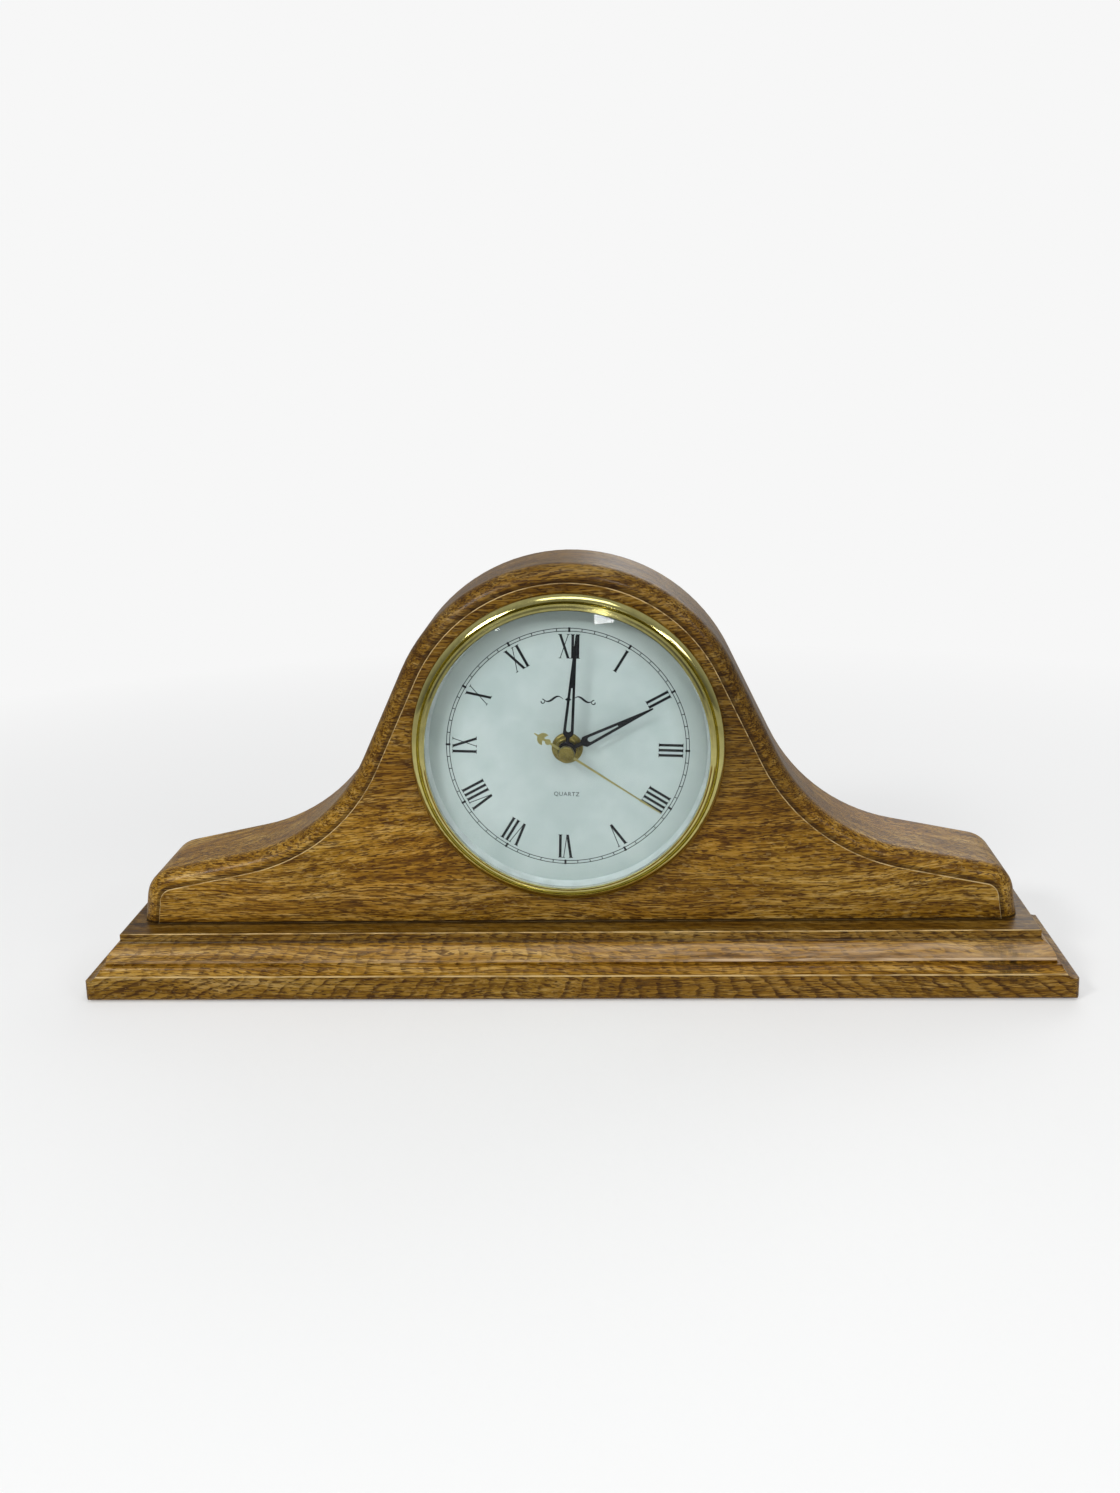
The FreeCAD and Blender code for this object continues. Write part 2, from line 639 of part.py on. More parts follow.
def control_chip():
    dome = Part.makeSphere(4.0, V(-20.5, layer(4.6), 1.0))
    return dome.common(block((-26, -15), (layer(7.02), layer(12)), (-6, 8)))


def round_coil(x, grow):
    """Box along the coil's core, larger than the core by grow on its four sides."""
    half_depth = COIL_CORE_DEPTH / 2 + grow
    half_height = COIL_CORE_HEIGHT / 2 + grow
    y = (layer(COIL_DEPTH - half_depth), layer(COIL_DEPTH + half_depth))
    return block(x, y, (COIL_Z - half_height, COIL_Z + half_height))


def coil_disc(x0, x1, radius):
    return Part.makeCylinder(radius, x1 - x0, V(x0, layer(COIL_DEPTH), COIL_Z), V(1, 0, 0))


def coil_core():
    return round_coil(MOTOR_X, 0.0)


def coil_bobbin():
    start, end = BOBBIN_X
    cheek = 0.8
    sleeve = round_coil(BOBBIN_X, 0.4)
    bobbin = sleeve.fuse([coil_disc(start, start + cheek, BOBBIN_R),
                          coil_disc(end - cheek, end, BOBBIN_R)])
    return bobbin.cut(round_coil(MOTOR_X, 0.05))


def coil_winding():
    start, end = BOBBIN_X
    return coil_disc(start + 0.85, end - 0.85, BOBBIN_R - 0.4).cut(round_coil(MOTOR_X, 0.45))


def stator():
    """Soft-iron plate round the rotor, with two arms up to the coil's core."""
    y = (layer(9.02), layer(10.0))
    left, right = MOTOR_X
    arm = 3.2
    bar_foot, bar_top, arm_top = 11.0, 15.0, 24.5
    left_arm = block((left, left + arm), y, (bar_foot, arm_top))
    right_arm = block((right - arm, right), y, (bar_foot, arm_top))
    bar = block(MOTOR_X, y, (bar_foot, bar_top))
    pole = block((9.2, 18.2), y, (6.2, bar_top))
    plate = bar.fuse([left_arm, right_arm, pole]).removeSplitter()
    x, z = ROTOR_XZ
    hole = rod(ROTOR_XZ, 3.0, y[0] - 1, y[1] + 1)
    notches = block((x - 0.3, x + 0.3), (y[0] - 1, y[1] + 1), (z - 3.7, z + 3.7))
    return plate.cut([hole, notches])


def battery_contact_positive():
    """Strip at the cell's button end, with a tab to the circuit board."""
    leaf = block((-CONTACT_X, -CONTACT_X + CONTACT_THICKNESS), CONTACT_Y, (-23.0, -10.3))
    tab = block((-CONTACT_X, -21.0), (CONTACT_Y[0], layer(5.95)), (-10.6, -10.3))
    return leaf.fuse(tab).removeSplitter()


def battery_contact_negative():
    """Strip at the cell's flat end, led along the divider to the circuit board."""
    leaf = block((CONTACT_X - CONTACT_THICKNESS, CONTACT_X), CONTACT_Y, (-23.0, -10.6))
    lead = block((-20.0, CONTACT_X), (CONTACT_Y[0], layer(8.0)), (-10.9, -10.6))
    return leaf.fuse(lead).removeSplitter()


def battery():
    """AA cell lying across the foot of the movement, button towards -X."""
    half = CELL_LENGTH / 2
    start = V(-half + 1.0, layer(CELL_MIDDLE), CELL_Z)
    can = Part.makeCylinder(CELL_R, CELL_LENGTH - 1.0, start, V(1, 0, 0))
    ends = [e for e in can.Edges if e.BoundBox.XLength < 0.01]
    can = can.makeFillet(0.8, ends)
    button = Part.makeCylinder(2.75, 1.5, V(-half, layer(CELL_MIDDLE), CELL_Z), V(1, 0, 0))
    return can.fuse(button).removeSplitter()


# ---------------------------------------------------------------- train
def arbor(at):
    return rod(at, ARBOR_R, layer(0.6), layer(15.9))


def rotor_magnet():
    return tube(ROTOR_XZ, 2.6, ARBOR_R + 0.02, layer(7.8), layer(10.8))


def rotor_pinion():
    leaf = gear(ROTOR_XZ, PINION_TEETH, TRAIN_MODULE, ROTOR_PHASE, layer(12.0), layer(13.4))
    return leaf.fuse(arbor(ROTOR_XZ))


def fifth_wheel():
    wheel = gear(FIFTH_XZ, FIFTH_TEETH, TRAIN_MODULE, FIFTH_PHASE, layer(12.2), layer(13.2))
    pinion = gear(FIFTH_XZ, FIFTH_PINION_TEETH, SECONDS_MODULE, FIFTH_PHASE,
                  layer(9.9), layer(12.2))
    return wheel.fuse([pinion, arbor(FIFTH_XZ)])


def third_wheel():
    wheel = gear(THIRD_XZ, THIRD_TEETH, TRAIN_MODULE, THIRD_PHASE, layer(8.2), layer(9.2))
    pinion = gear(THIRD_XZ, PINION_TEETH, CENTRE_MODULE, THIRD_PHASE, layer(5.6), layer(8.2))
    return wheel.fuse([pinion, arbor(THIRD_XZ)])


def seconds_wheel():
    """Seconds wheel and pinion on the long thin arbor that carries the seconds hand."""
    wheel = gear((0, 0), SECONDS_TEETH, SECONDS_MODULE, SECONDS_PHASE, layer(10.2), layer(11.2))
    pinion = gear((0, 0), PINION_TEETH, TRAIN_MODULE, SECONDS_PHASE, layer(7.8), layer(10.2))
    shaft = rod((0, 0), SECONDS_ARBOR_R, 0.8 - CAP_HEIGHT, layer(15.9))
    return wheel.fuse([pinion, shaft])


def centre_wheel():
    wheel = gear((0, 0), CENTRE_TEETH, CENTRE_MODULE, CENTRE_PHASE, layer(6.0), layer(7.0))
    return wheel.cut(rod((0, 0), 1.4 + RUNNING_GAP, layer(5), layer(8)))


def minute_arbor():
    """Tube with the cannon pinion, the clutch seat and the seat of the minute hand."""
    front = -(MINUTE_HAND_HEIGHT + 0.9)
    body = rod((0, 0), MINUTE_TUBE_R, front, layer(5.0))
    cannon = gear((0, 0), CANNON_TEETH, MOTION_MODULE, CANNON_PHASE, layer(3.0), layer(4.4))
    flange = rod((0, 0), 2.6, layer(5.0), layer(5.9))
    seat = rod((0, 0), 1.4, layer(5.0), layer(7.6))
    collar = rod((0, 0), 2.2, layer(7.1), layer(7.6))
    solid = body.fuse([cannon, flange, seat, collar]).removeSplitter()
    return solid.cut(rod((0, 0), SECONDS_ARBOR_R + RUNNING_GAP, front - 1, layer(9)))


def minute_wheel():
    wheel = gear(MINUTE_WHEEL_XZ, MINUTE_WHEEL_TEETH, MOTION_MODULE, MINUTE_WHEEL_PHASE,
                 layer(3.2), layer(4.2))
    pinion = gear(MINUTE_WHEEL_XZ, MINUTE_PINION_TEETH, HOUR_MODULE, MINUTE_WHEEL_PHASE,
                  layer(1.6), layer(3.2))
    return wheel.fuse([pinion, arbor(MINUTE_WHEEL_XZ)])


def hour_wheel():
    front = -(HOUR_HAND_HEIGHT + 0.8)
    wheel = gear((0, 0), HOUR_TEETH, HOUR_MODULE, HOUR_PHASE, layer(1.7), layer(2.7))
    sleeve = rod((0, 0), HOUR_TUBE_R, front, layer(2.8))
    bore = rod((0, 0), MINUTE_TUBE_R + RUNNING_GAP, front - 1, layer(4))
    return wheel.fuse(sleeve).cut(bore)


def setting_pinion():
    leaf = gear(SETTING_XZ, CANNON_TEETH, MOTION_MODULE, SETTING_PHASE, layer(3.0), layer(4.4))
    return leaf.fuse(rod(SETTING_XZ, 1.0, layer(0.6), layer(19.2)))


def setting_knob():
    """Ribbed knob on the back of the movement."""
    y0, y1 = layer(16.8), layer(20.4)
    knob = rod(SETTING_XZ, KNOB_R, y0, y1)
    knob = knob.makeChamfer(0.5, [e for e in knob.Edges if abs(e.BoundBox.YMin - y1) < 0.01])
    ribs = 24
    cuts = [rod(polar(KNOB_R + 0.3, i * 360 / ribs, SETTING_XZ), 0.55, y0 - 1, y1 + 1)
            for i in range(ribs)]
    socket = rod(SETTING_XZ, 1.02, y0 - 1, layer(19.25))
    return knob.cut(cuts + [socket])


# ---------------------------------------------------------------- hands
def pointed(angle, shape):
    """Turn a hand drawn towards twelve to its rest angle."""
    shape.rotate(V(0, 0, 0), V(0, 1, 0), angle)
    return shape


def skeleton_hand(height, hub_r, bore, base, slot, tip, flare):
    """Tapered hand with an open slot. base, slot ends and tip are distances from the axis."""
    y0, y1 = -height - HAND_THICKNESS / 2, -height + HAND_THICKNESS / 2
    half_tip = 0.35
    neck = 0.85
    blade = [(-neck, hub_r - 0.6), (-neck, base - 2.4), (-flare, base - 0.6), (-flare, base + 0.6),
             (-half_tip, tip - 0.3), (0, tip), (half_tip, tip - 0.3), (flare, base + 0.6),
             (flare, base - 0.6), (neck, base - 2.4), (neck, hub_r - 0.6)]
    hand = flat_polygon(blade, y0, y1).fuse(rod((0, 0), hub_r, y0, y1))
    slot_start, slot_end = slot
    wide = flare - 1.35
    hand = hand.cut(flat_polygon([(-wide, slot_start), (wide, slot_start),
                                  (0.3, slot_end), (-0.3, slot_end)], y0 - 1, y1 + 1))
    hand = hand.cut(rod((0, slot_start), wide, y0 - 1, y1 + 1))
    collar = rod((0, 0), bore + 0.75, y0, y1 + 0.5)
    return hand.fuse(collar).removeSplitter().cut(rod((0, 0), bore, y0 - 2, y1 + 2))


def hour_hand():
    hand = skeleton_hand(HOUR_HAND_HEIGHT, 4.1, HOUR_TUBE_R + 0.02, 9.6, (11.8, 25.8), 43.5, 2.5)
    return pointed(HOUR_ANGLE, hand)


def minute_hand():
    hand = skeleton_hand(MINUTE_HAND_HEIGHT, 3.95, MINUTE_TUBE_R + 0.02, 8.9,
                         (10.3, 29.5), 53.8, 2.4)
    return pointed(MINUTE_ANGLE, hand)


def seconds_hand():
    """Thin hand with a crescent and spear counterweight."""
    y0 = -SECONDS_HAND_HEIGHT - 0.15
    y1 = -SECONDS_HAND_HEIGHT + 0.15
    tip = 50.3
    blade = flat_polygon([(-0.55, 0), (-0.3, 38), (-0.45, 41), (-0.2, tip), (0.2, tip),
                          (0.45, 41), (0.3, 38), (0.55, 0)], y0, y1)
    hub = rod((0, 0), 2.2, y0, y1)
    bar = flat_polygon([(-0.65, 0), (0.65, 0), (0.5, -9.0), (-0.5, -9.0)], y0, y1)
    bulb = rod((0, -9.8), 1.35, y0, y1)
    stem = block((-0.6, 0.6), (y0, y1), (-12.8, -10.5))
    moon = rod((0, -12.2), 2.85, y0, y1).cut(rod((0, -8.3), 3.9, y0 - 1, y1 + 1))
    spear = flat_polygon([(-0.5, -14.8), (0.5, -14.8), (0.2, -17.1), (-0.2, -17.1)], y0, y1)
    pipe = rod((0, 0), 1.2, y0, y1 + 0.9)
    hand = blade.fuse([hub, bar, bulb, stem, moon, spear, pipe]).removeSplitter()
    hand = hand.cut(rod((0, 0), SECONDS_ARBOR_R + 0.02, y0 - 1, y1 + 2))
    return pointed(SECONDS_ANGLE, hand)


def seconds_cap():
    """Brass button that closes the seconds hand's hub."""
    back = SECONDS_HAND_HEIGHT + 0.17
    hole = SECONDS_ARBOR_R + 0.02
    return turned(
        [(hole, back), (CAP_R - 0.2, back)], [(CAP_R - 0.2, back), (CAP_R, back + 0.2)],
        [(CAP_R, back + 0.2), (CAP_R, CAP_HEIGHT - 0.6)],
        [(CAP_R, CAP_HEIGHT - 0.6), (CAP_R - 0.18, CAP_HEIGHT - 0.18), (CAP_R - 0.6, CAP_HEIGHT)],
        [(CAP_R - 0.6, CAP_HEIGHT), (0.0, CAP_HEIGHT)],
        [(0.0, CAP_HEIGHT), (0.0, CAP_HEIGHT - 0.75)],
        [(0.0, CAP_HEIGHT - 0.75), (hole, CAP_HEIGHT - 0.75)],
        [(hole, CAP_HEIGHT - 0.75), (hole, back)],
    )


# ---------------------------------------------------------------- output
CASE_PIECES = [base_plinth, base_felt, base_screws, case_front_board, case_back_board]
INSERT_PIECES = [
    insert_cup, friction_band, bezel_ring, bezel_inner_ring, crystal_lens, lens_gasket,
    dial_spacer, dial_face, movement_gasket, movement_front_shell, movement_rear_shell,
    centre_bushing, bushing_washer, bushing_nut, circuit_board, quartz_crystal, control_chip,
    coil_core, coil_bobbin, coil_winding, stator, battery_contact_positive,
    battery_contact_negative, battery, rotor_magnet, rotor_pinion, fifth_wheel, third_wheel,
    seconds_wheel, centre_wheel, minute_arbor, minute_wheel, hour_wheel, setting_pinion,
    setting_knob, hour_hand, minute_hand, seconds_hand, seconds_cap,
]


def in_case(shape):
    """Set a piece of the insert into the case, at its height and with its small turn."""
    shape.rotate(V(0, 0, 0), V(0, 1, 0), INSERT_TURN)
    shape.translate(V(0, DIAL_Y, DIAL_HEIGHT))
    return shape


def main():
    os.makedirs("parts", exist_ok=True)
    pieces = [(make.__name__, make()) for make in CASE_PIECES]
    pieces += [(make.__name__, in_case(make())) for make in INSERT_PIECES]
    for name, shape in pieces:
        shape.exportStep("parts/" + name + ".step")
        print(name, "valid" if shape.isValid() else "NOT VALID",
              len(shape.Solids), "solid(s)", round(shape.Volume, 2), "mm3")
    for name, at in (("minute_wheel", MINUTE_WHEEL_XZ), ("third_wheel", THIRD_XZ),
                     ("fifth_wheel", FIFTH_XZ), ("rotor", ROTOR_XZ), ("setting", SETTING_XZ)):
        spot = Part.Vertex(at[0], 0, at[1])
        spot = in_case(spot).Point
        print("arbor", name, round(spot.x, 4), round(spot.y, 4), round(spot.z, 4))


main()
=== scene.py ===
import math

import bmesh
import bpy
from mathutils import Matrix, Vector


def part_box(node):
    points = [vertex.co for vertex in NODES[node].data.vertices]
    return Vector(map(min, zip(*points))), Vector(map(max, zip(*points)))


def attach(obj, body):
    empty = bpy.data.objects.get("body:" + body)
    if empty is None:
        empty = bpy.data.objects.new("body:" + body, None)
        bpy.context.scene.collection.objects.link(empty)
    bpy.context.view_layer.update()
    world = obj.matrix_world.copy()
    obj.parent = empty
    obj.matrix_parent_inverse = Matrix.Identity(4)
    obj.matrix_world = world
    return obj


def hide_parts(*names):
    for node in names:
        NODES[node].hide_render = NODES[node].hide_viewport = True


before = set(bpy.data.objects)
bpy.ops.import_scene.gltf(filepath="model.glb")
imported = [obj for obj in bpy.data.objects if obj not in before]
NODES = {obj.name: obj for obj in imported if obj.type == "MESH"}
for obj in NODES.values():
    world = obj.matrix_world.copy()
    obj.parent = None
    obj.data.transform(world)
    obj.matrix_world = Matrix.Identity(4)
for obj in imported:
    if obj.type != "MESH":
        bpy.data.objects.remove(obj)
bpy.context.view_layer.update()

MM = 0.001

# The insert's own frame: the dial's centre, and its small clockwise turn in the bore.
DIAL_LOW, DIAL_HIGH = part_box("dial_face")
DIAL_Y = DIAL_LOW.y
DIAL_X = (DIAL_LOW.x + DIAL_HIGH.x) / 2
DIAL_Z = (DIAL_LOW.z + DIAL_HIGH.z) / 2
DIAL_TURN = math.radians(2.43)
CASE_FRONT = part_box("case_front_board")[0].y
CASE_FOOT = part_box("case_front_board")[0].z
PLINTH_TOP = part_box("base_plinth")[1].z / MM
PLINTH_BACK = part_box("base_plinth")[1].y / MM


# ------------------------------------------------------------------ camera
CAMERA_PLACE = (0.0331, -0.6901, 0.2928)
CAMERA_YAW, CAMERA_PITCH, CAMERA_ROLL = 0.0713, 0.2006, 0.0319
SENSOR = 36.0
FRAME_HEIGHT = 1493.0
FOCAL_PIXELS = 1542.0
SHIFT = (0.01944, -0.0606)


def make_camera():
    cam = bpy.data.cameras.new("camera")
    obj = bpy.data.objects.new("camera", cam)
    bpy.context.scene.collection.objects.link(obj)
    cam.sensor_width = SENSOR
    cam.lens = FOCAL_PIXELS / FRAME_HEIGHT * SENSOR
    cam.shift_x, cam.shift_y = SHIFT
    cam.clip_start, cam.clip_end = 0.02, 60.0
    cy, sy = math.cos(CAMERA_YAW), math.sin(CAMERA_YAW)
    cp, sp = math.cos(CAMERA_PITCH), math.sin(CAMERA_PITCH)
    forward = Vector((-sy * cp, cy * cp, -sp))
    right = Vector((cy, sy, 0.0))
    down = forward.cross(right)
    cr, sr = math.cos(CAMERA_ROLL), math.sin(CAMERA_ROLL)
    right, down = cr * right + sr * down, cr * down - sr * right
    turn = Matrix((right, -down, -forward)).transposed()
    obj.matrix_world = Matrix.Translation(CAMERA_PLACE) @ turn.to_4x4()
    bpy.context.scene.camera = obj


# ------------------------------------------------------------------ material graphs
class Graph:
    """One procedural material. Lengths in its coordinates are millimetres in the row frame."""

    def __init__(self, name, **values):
        self.mat = bpy.data.materials.new(name)
        self.mat.use_nodes = True
        self.tree = self.mat.node_tree
        self.tree.nodes.clear()
        self.out = self.tree.nodes.new("ShaderNodeOutputMaterial")
        self.shader = self.tree.nodes.new("ShaderNodeBsdfPrincipled")
        self.join(self.shader.outputs["BSDF"], self.out.inputs["Surface"])
        for key, value in values.items():
            self.shader.inputs[key.replace("_", " ")].default_value = value

    def join(self, source, target):
        self.tree.links.new(source, target)

    def node(self, kind, inputs=None, **settings):
        made = self.tree.nodes.new(kind)
        for key, value in settings.items():
            setattr(made, key, value)
        for key, value in (inputs or {}).items():
            self.feed(made.inputs[key], value)
        return made

    def feed(self, socket, value):
        if isinstance(value, bpy.types.NodeSocket):
            self.join(value, socket)
        else:
            socket.default_value = value

    def place(self, scale=(1, 1, 1), offset=(0, 0, 0)):
        """Object coordinates in millimetres, scaled, then shifted to pick the pattern."""
        coords = self.node("ShaderNodeTexCoord").outputs["Object"]
        moved = self.node("ShaderNodeMapping", {"Vector": coords}, vector_type="POINT")
        moved.inputs["Scale"].default_value = tuple(1000.0 * s for s in scale)
        moved.inputs["Location"].default_value = offset
        return moved.outputs["Vector"]

    def stretch(self, vector, scale):
        return self.node("ShaderNodeVectorMath", {0: vector, 1: tuple(scale)},
                         operation="MULTIPLY").outputs[0]

    def parts(self, vector):
        split = self.node("ShaderNodeSeparateXYZ", {0: vector})
        return split.outputs[0], split.outputs[1], split.outputs[2]

    def vector(self, x, y, z):
        return self.node("ShaderNodeCombineXYZ", {0: x, 1: y, 2: z}).outputs[0]

    def noise(self, vector, scale=1.0, detail=2.0, rough=0.5, distort=0.0):
        made = self.node("ShaderNodeTexNoise", {
            "Vector": vector, "Scale": scale, "Detail": detail,
            "Roughness": rough, "Distortion": distort})
        return made.outputs["Fac"]

    def math(self, operation, a, b=0.0):
        return self.node("ShaderNodeMath", {0: a, 1: b}, operation=operation).outputs[0]

    def hypot(self, a, b):
        return self.math("SQRT", self.math("ADD", self.math("MULTIPLY", a, a),
                                           self.math("MULTIPLY", b, b)))

    def span(self, value, low, high, to_low=0.0, to_high=1.0):
        """Value rescaled from low..high to to_low..to_high, held at both ends."""
        return self.node("ShaderNodeMapRange", {
            "Value": value, "From Min": low, "From Max": high,
            "To Min": to_low, "To Max": to_high}, clamp=True).outputs[0]

    def ramp(self, value, stops):
        made = self.node("ShaderNodeValToRGB", {"Fac": value})
        elements = made.color_ramp.elements
        while len(elements) < len(stops):
            elements.new(0.5)
        for element, (at, colour) in zip(elements, stops):
            element.position = at
            element.color = solid(colour)
        return made.outputs["Color"]

    def mix(self, share, a, b, blend="MIX"):
        """Share of b over a. Both are colours: a socket or an (r, g, b) tuple."""
        made = self.node("ShaderNodeMix", data_type="RGBA", blend_type=blend)
        self.feed(made.inputs[0], share)
        for socket, value in ((made.inputs[6], a), (made.inputs[7], b)):
            self.feed(socket, value if isinstance(value, bpy.types.NodeSocket)
                      else solid(value))
        return made.outputs[2]

    def bump(self, height, distance_mm, strength=1.0):
        self.join(self.node("ShaderNodeBump", {
            "Height": height, "Distance": distance_mm * MM,
            "Strength": strength}).outputs["Normal"], self.shader.inputs["Normal"])

    def colour(self, source):
        self.join(source, self.shader.inputs["Base Color"])

    def roughness(self, source):
        self.join(source, self.shader.inputs["Roughness"])

    def surface(self, share, first, second):
        """The material's surface: share of the second shader's output over the first's."""
        both = self.node("ShaderNodeMixShader")
        self.feed(both.inputs[0], share)
        self.join(first, both.inputs[1])
        self.join(second, both.inputs[2])
        self.join(both.outputs["Shader"], self.out.inputs["Surface"])

    def facing(self, axis):
        """How squarely the surface faces along an axis, from 0 to 1."""
        normal = self.node("ShaderNodeTexCoord").outputs["Normal"]
        return self.math("ABSOLUTE", self.parts(normal)[axis])


def shade(colour, factor):
    return tuple(c * factor for c in colour)


def solid(colour):
    """Colour with the full alpha that a shader's own socket wants."""
    return tuple(colour) + (1.0,)


# ------------------------------------------------------------------ oak
OAK_TONES = [(0.39, (0.150, 0.066, 0.002)), (0.455, (0.250, 0.122, 0.007)),
             (0.50, (0.335, 0.173, 0.015)), (0.545, (0.420, 0.236, 0.034)),
             (0.60, (0.520, 0.325, 0.085)), (0.68, (0.590, 0.395, 0.140))]
OAK_DASH = (0.085, 0.032, 0.001)
OAK_PORE = (0.045, 0.015, 0.001)
OAK_END = (0.215, 0.105, 0.010)
# Near-black of the painted shade in steps, creases and joints.
OAK_PAINTED_SHADE = (0.016, 0.007, 0.002)
# Pale colour of the painted highlight along the arrises.
OAK_ARRIS_HIGHLIGHT = (0.56, 0.40, 0.18)
# Pale colour of the painted sheen on the moulding.
OAK_SHEEN = (0.62, 0.45, 0.28)

# Heights on the plinth, in mm, from the slab's top edge up to the flat top.
SLAB_ARRIS = PLINTH_TOP - 16.4
LEDGE_FOOT = PLINTH_TOP - 11.75
LEDGE_TOP = PLINTH_TOP - 10.7
OVOLO_FOOT = PLINTH_TOP - 11.2
OVOLO_CROWN = PLINTH_TOP - 6.4
OVOLO_TOP = PLINTH_TOP - 5.4
EDGE_FOOT = PLINTH_TOP - 4.4
EDGE_TOP = PLINTH_TOP - 0.6
CASE_FACE = CASE_FRONT / MM


def oak(name, seed, ring_at, ring_strength, dash_level, arris_highlight, shaded, zone, sheen):
    """Satin-lacquered oak. The grain runs along X. ring_at gives the growth-ring count,
    arris_highlight and shaded give where edges carry a painted highlight and where creases and
    joints carry painted shade, zone gives how light the colour is from place to place, partly as
    painted shade, and sheen where the lacquer carries a painted sheen."""
    g = Graph(name, Roughness=0.38, Specular_IOR_Level=0.13, Coat_Weight=0.05,
              Coat_Roughness=0.14)
    p = g.place(offset=seed)
    x, y, z = g.parts(p)
    wander = g.noise(g.stretch(p, (0.007, 0.02, 0.02)), detail=1.0)
    swing = g.math("MULTIPLY", g.math("SUBTRACT", wander, 0.5), 26.0)
    bent = g.vector(x, g.math("ADD", y, swing), g.math("ADD", z, swing))
    tone = g.noise(g.stretch(bent, (0.010, 0.20, 0.20)), detail=4.0, rough=0.62)
    patch = g.noise(g.stretch(p, (0.012, 0.03, 0.03)), detail=2.0)
    fibre = g.noise(g.stretch(bent, (0.045, 1.15, 1.15)), detail=3.0, rough=0.75)
    dash_field = g.noise(g.stretch(bent, (0.10, 1.2, 1.2)), detail=1.5, rough=0.5)
    pore_field = g.noise(g.stretch(bent, (0.24, 2.1, 2.1)), detail=1.0, rough=0.5)
    ring = ring_at(g, bent, x, y, z)
    phase = g.math("FRACT", ring)
    # Early wood is a sharp dark line that fades away over a third of the ring.
    line = g.math("MULTIPLY", g.span(phase, 0.0, 0.05), g.span(phase, 0.15, 0.42, 1.0, 0.0))
    broken = g.span(g.noise(g.stretch(bent, (0.16, 0.35, 0.35)), detail=3.0), 0.38, 0.58)
    line = g.math("MULTIPLY", line, g.math("ADD", g.math("MULTIPLY", broken, 0.72), 0.28))
    shade_of = g.math("ADD", g.math("MULTIPLY", tone, 0.5), g.math("MULTIPLY", fibre, 0.5))
    body = g.ramp(shade_of, OAK_TONES)
    warm = g.mix(1.0, body, (0.88, 0.80, 0.66), "MULTIPLY")
    body = g.mix(g.span(patch, 0.36, 0.66), body, warm)
    # Open pores crowd together in the early wood.
    early = g.math("MULTIPLY", g.span(phase, 0.0, 0.08), g.span(phase, 0.25, 0.7, 1.0, 0.0))
    crowd = g.math("ADD", g.math("MULTIPLY", early, 0.035), g.math("MULTIPLY", patch, 0.07))
    level = g.math("SUBTRACT", dash_level + 0.035, crowd)
    dash = g.span(g.math("SUBTRACT", dash_field, level), 0.0, 0.05)
    pores = g.span(g.math("SUBTRACT", pore_field, level), 0.0, 0.05)
    # Cut ends show the rings plainly and the fibres hardly at all, and take up more stain.
    ends = g.span(g.facing(0), 0.45, 0.95)
    body = g.mix(g.math("MULTIPLY", ends, 0.55), body, OAK_END)
    strength = g.math("MAXIMUM", ring_share(g, ring_strength), g.math("MULTIPLY", ends, 0.6))
    body = g.mix(g.math("MULTIPLY", line, strength), body, OAK_DASH)
    body = g.mix(g.math("MULTIPLY", dash, 0.80), body, OAK_DASH)
    body = g.mix(g.math("MULTIPLY", pores, 0.80), body, OAK_PORE)
    fleck_field = g.noise(g.stretch(p, (0.30, 0.5, 0.8)), detail=1.0, distort=0.8)
    fleck = g.math("MULTIPLY", g.span(fleck_field, 0.60, 0.66),
                   g.span(patch, 0.48, 0.6, 1.0, 0.0))
    body = g.mix(g.math("MULTIPLY", fleck, 0.2), body, OAK_TONES[-1][1])
    bare = g.place()
    body = g.mix(1.0, body, zone(g, bare), "MULTIPLY")
    # Painted sheen where the lacquer catches the light.
    body = g.mix(sheen(g, bare), body, OAK_SHEEN)
    # Painted highlight: a pale line where the arrises catch the light, broken up in patches.
    highlight_patchiness = g.noise(g.stretch(p, (0.09, 0.5, 0.5)), detail=2.0)
    # Painted shade in steps, creases and joints.
    body = g.mix(g.math("MULTIPLY", shaded(g, bare), 0.9), body, OAK_PAINTED_SHADE)
    highlighted = g.math("MULTIPLY", arris_highlight(g, bare), g.span(highlight_patchiness, 0.38, 0.58, 0.25, 0.9))
    body = g.mix(highlighted, body, OAK_ARRIS_HIGHLIGHT)
    g.colour(body)
    g.roughness(g.span(fibre, 0.25, 0.8, 0.30, 0.48))
    grain = g.math("SUBTRACT", g.math("MULTIPLY", fibre, 0.25),
                   g.math("MULTIPLY", g.math("MAXIMUM", pores, dash), 0.5))
    g.bump(grain, 0.12, 0.6)
    return g


def back_zone(g, bare):
    """The back board darkens upwards."""
    _, _, z = g.parts(bare)
    return g.span(z, 75.0, 160.0, 0.90, 0.62)


def oval(g, x, z, at, half, inner=0.5):
    """1 inside an ellipse in X and Z, fading to 0 at its edge."""
    dx = g.math("DIVIDE", g.math("SUBTRACT", x, at[0]), half[0])
    dz = g.math("DIVIDE", g.math("SUBTRACT", z, at[1]), half[1])
    return g.span(g.hypot(dx, dz), inner, 1.0, 1.0, 0.0)


def front_zone(g, bare):
    """The case is darker up round the bezel and pale at its lower left."""
    x, _, z = g.parts(bare)
    arch = g.span(z, 75.0, 160.0, 0.84, 0.55)
    right = g.math("MULTIPLY", oval(g, x, z, (92.0, 125.0), (46.0, 62.0)), -0.22)
    left = g.math("MULTIPLY", oval(g, x, z, (-85.0, 62.0), (40.0, 30.0)), 0.16)
    pale = g.math("MULTIPLY", oval(g, x, z, (-165.0, 38.0), (52.0, 26.0)), 0.18)
    return g.math("ADD", g.math("ADD", arch, left), g.math("ADD", right, pale))


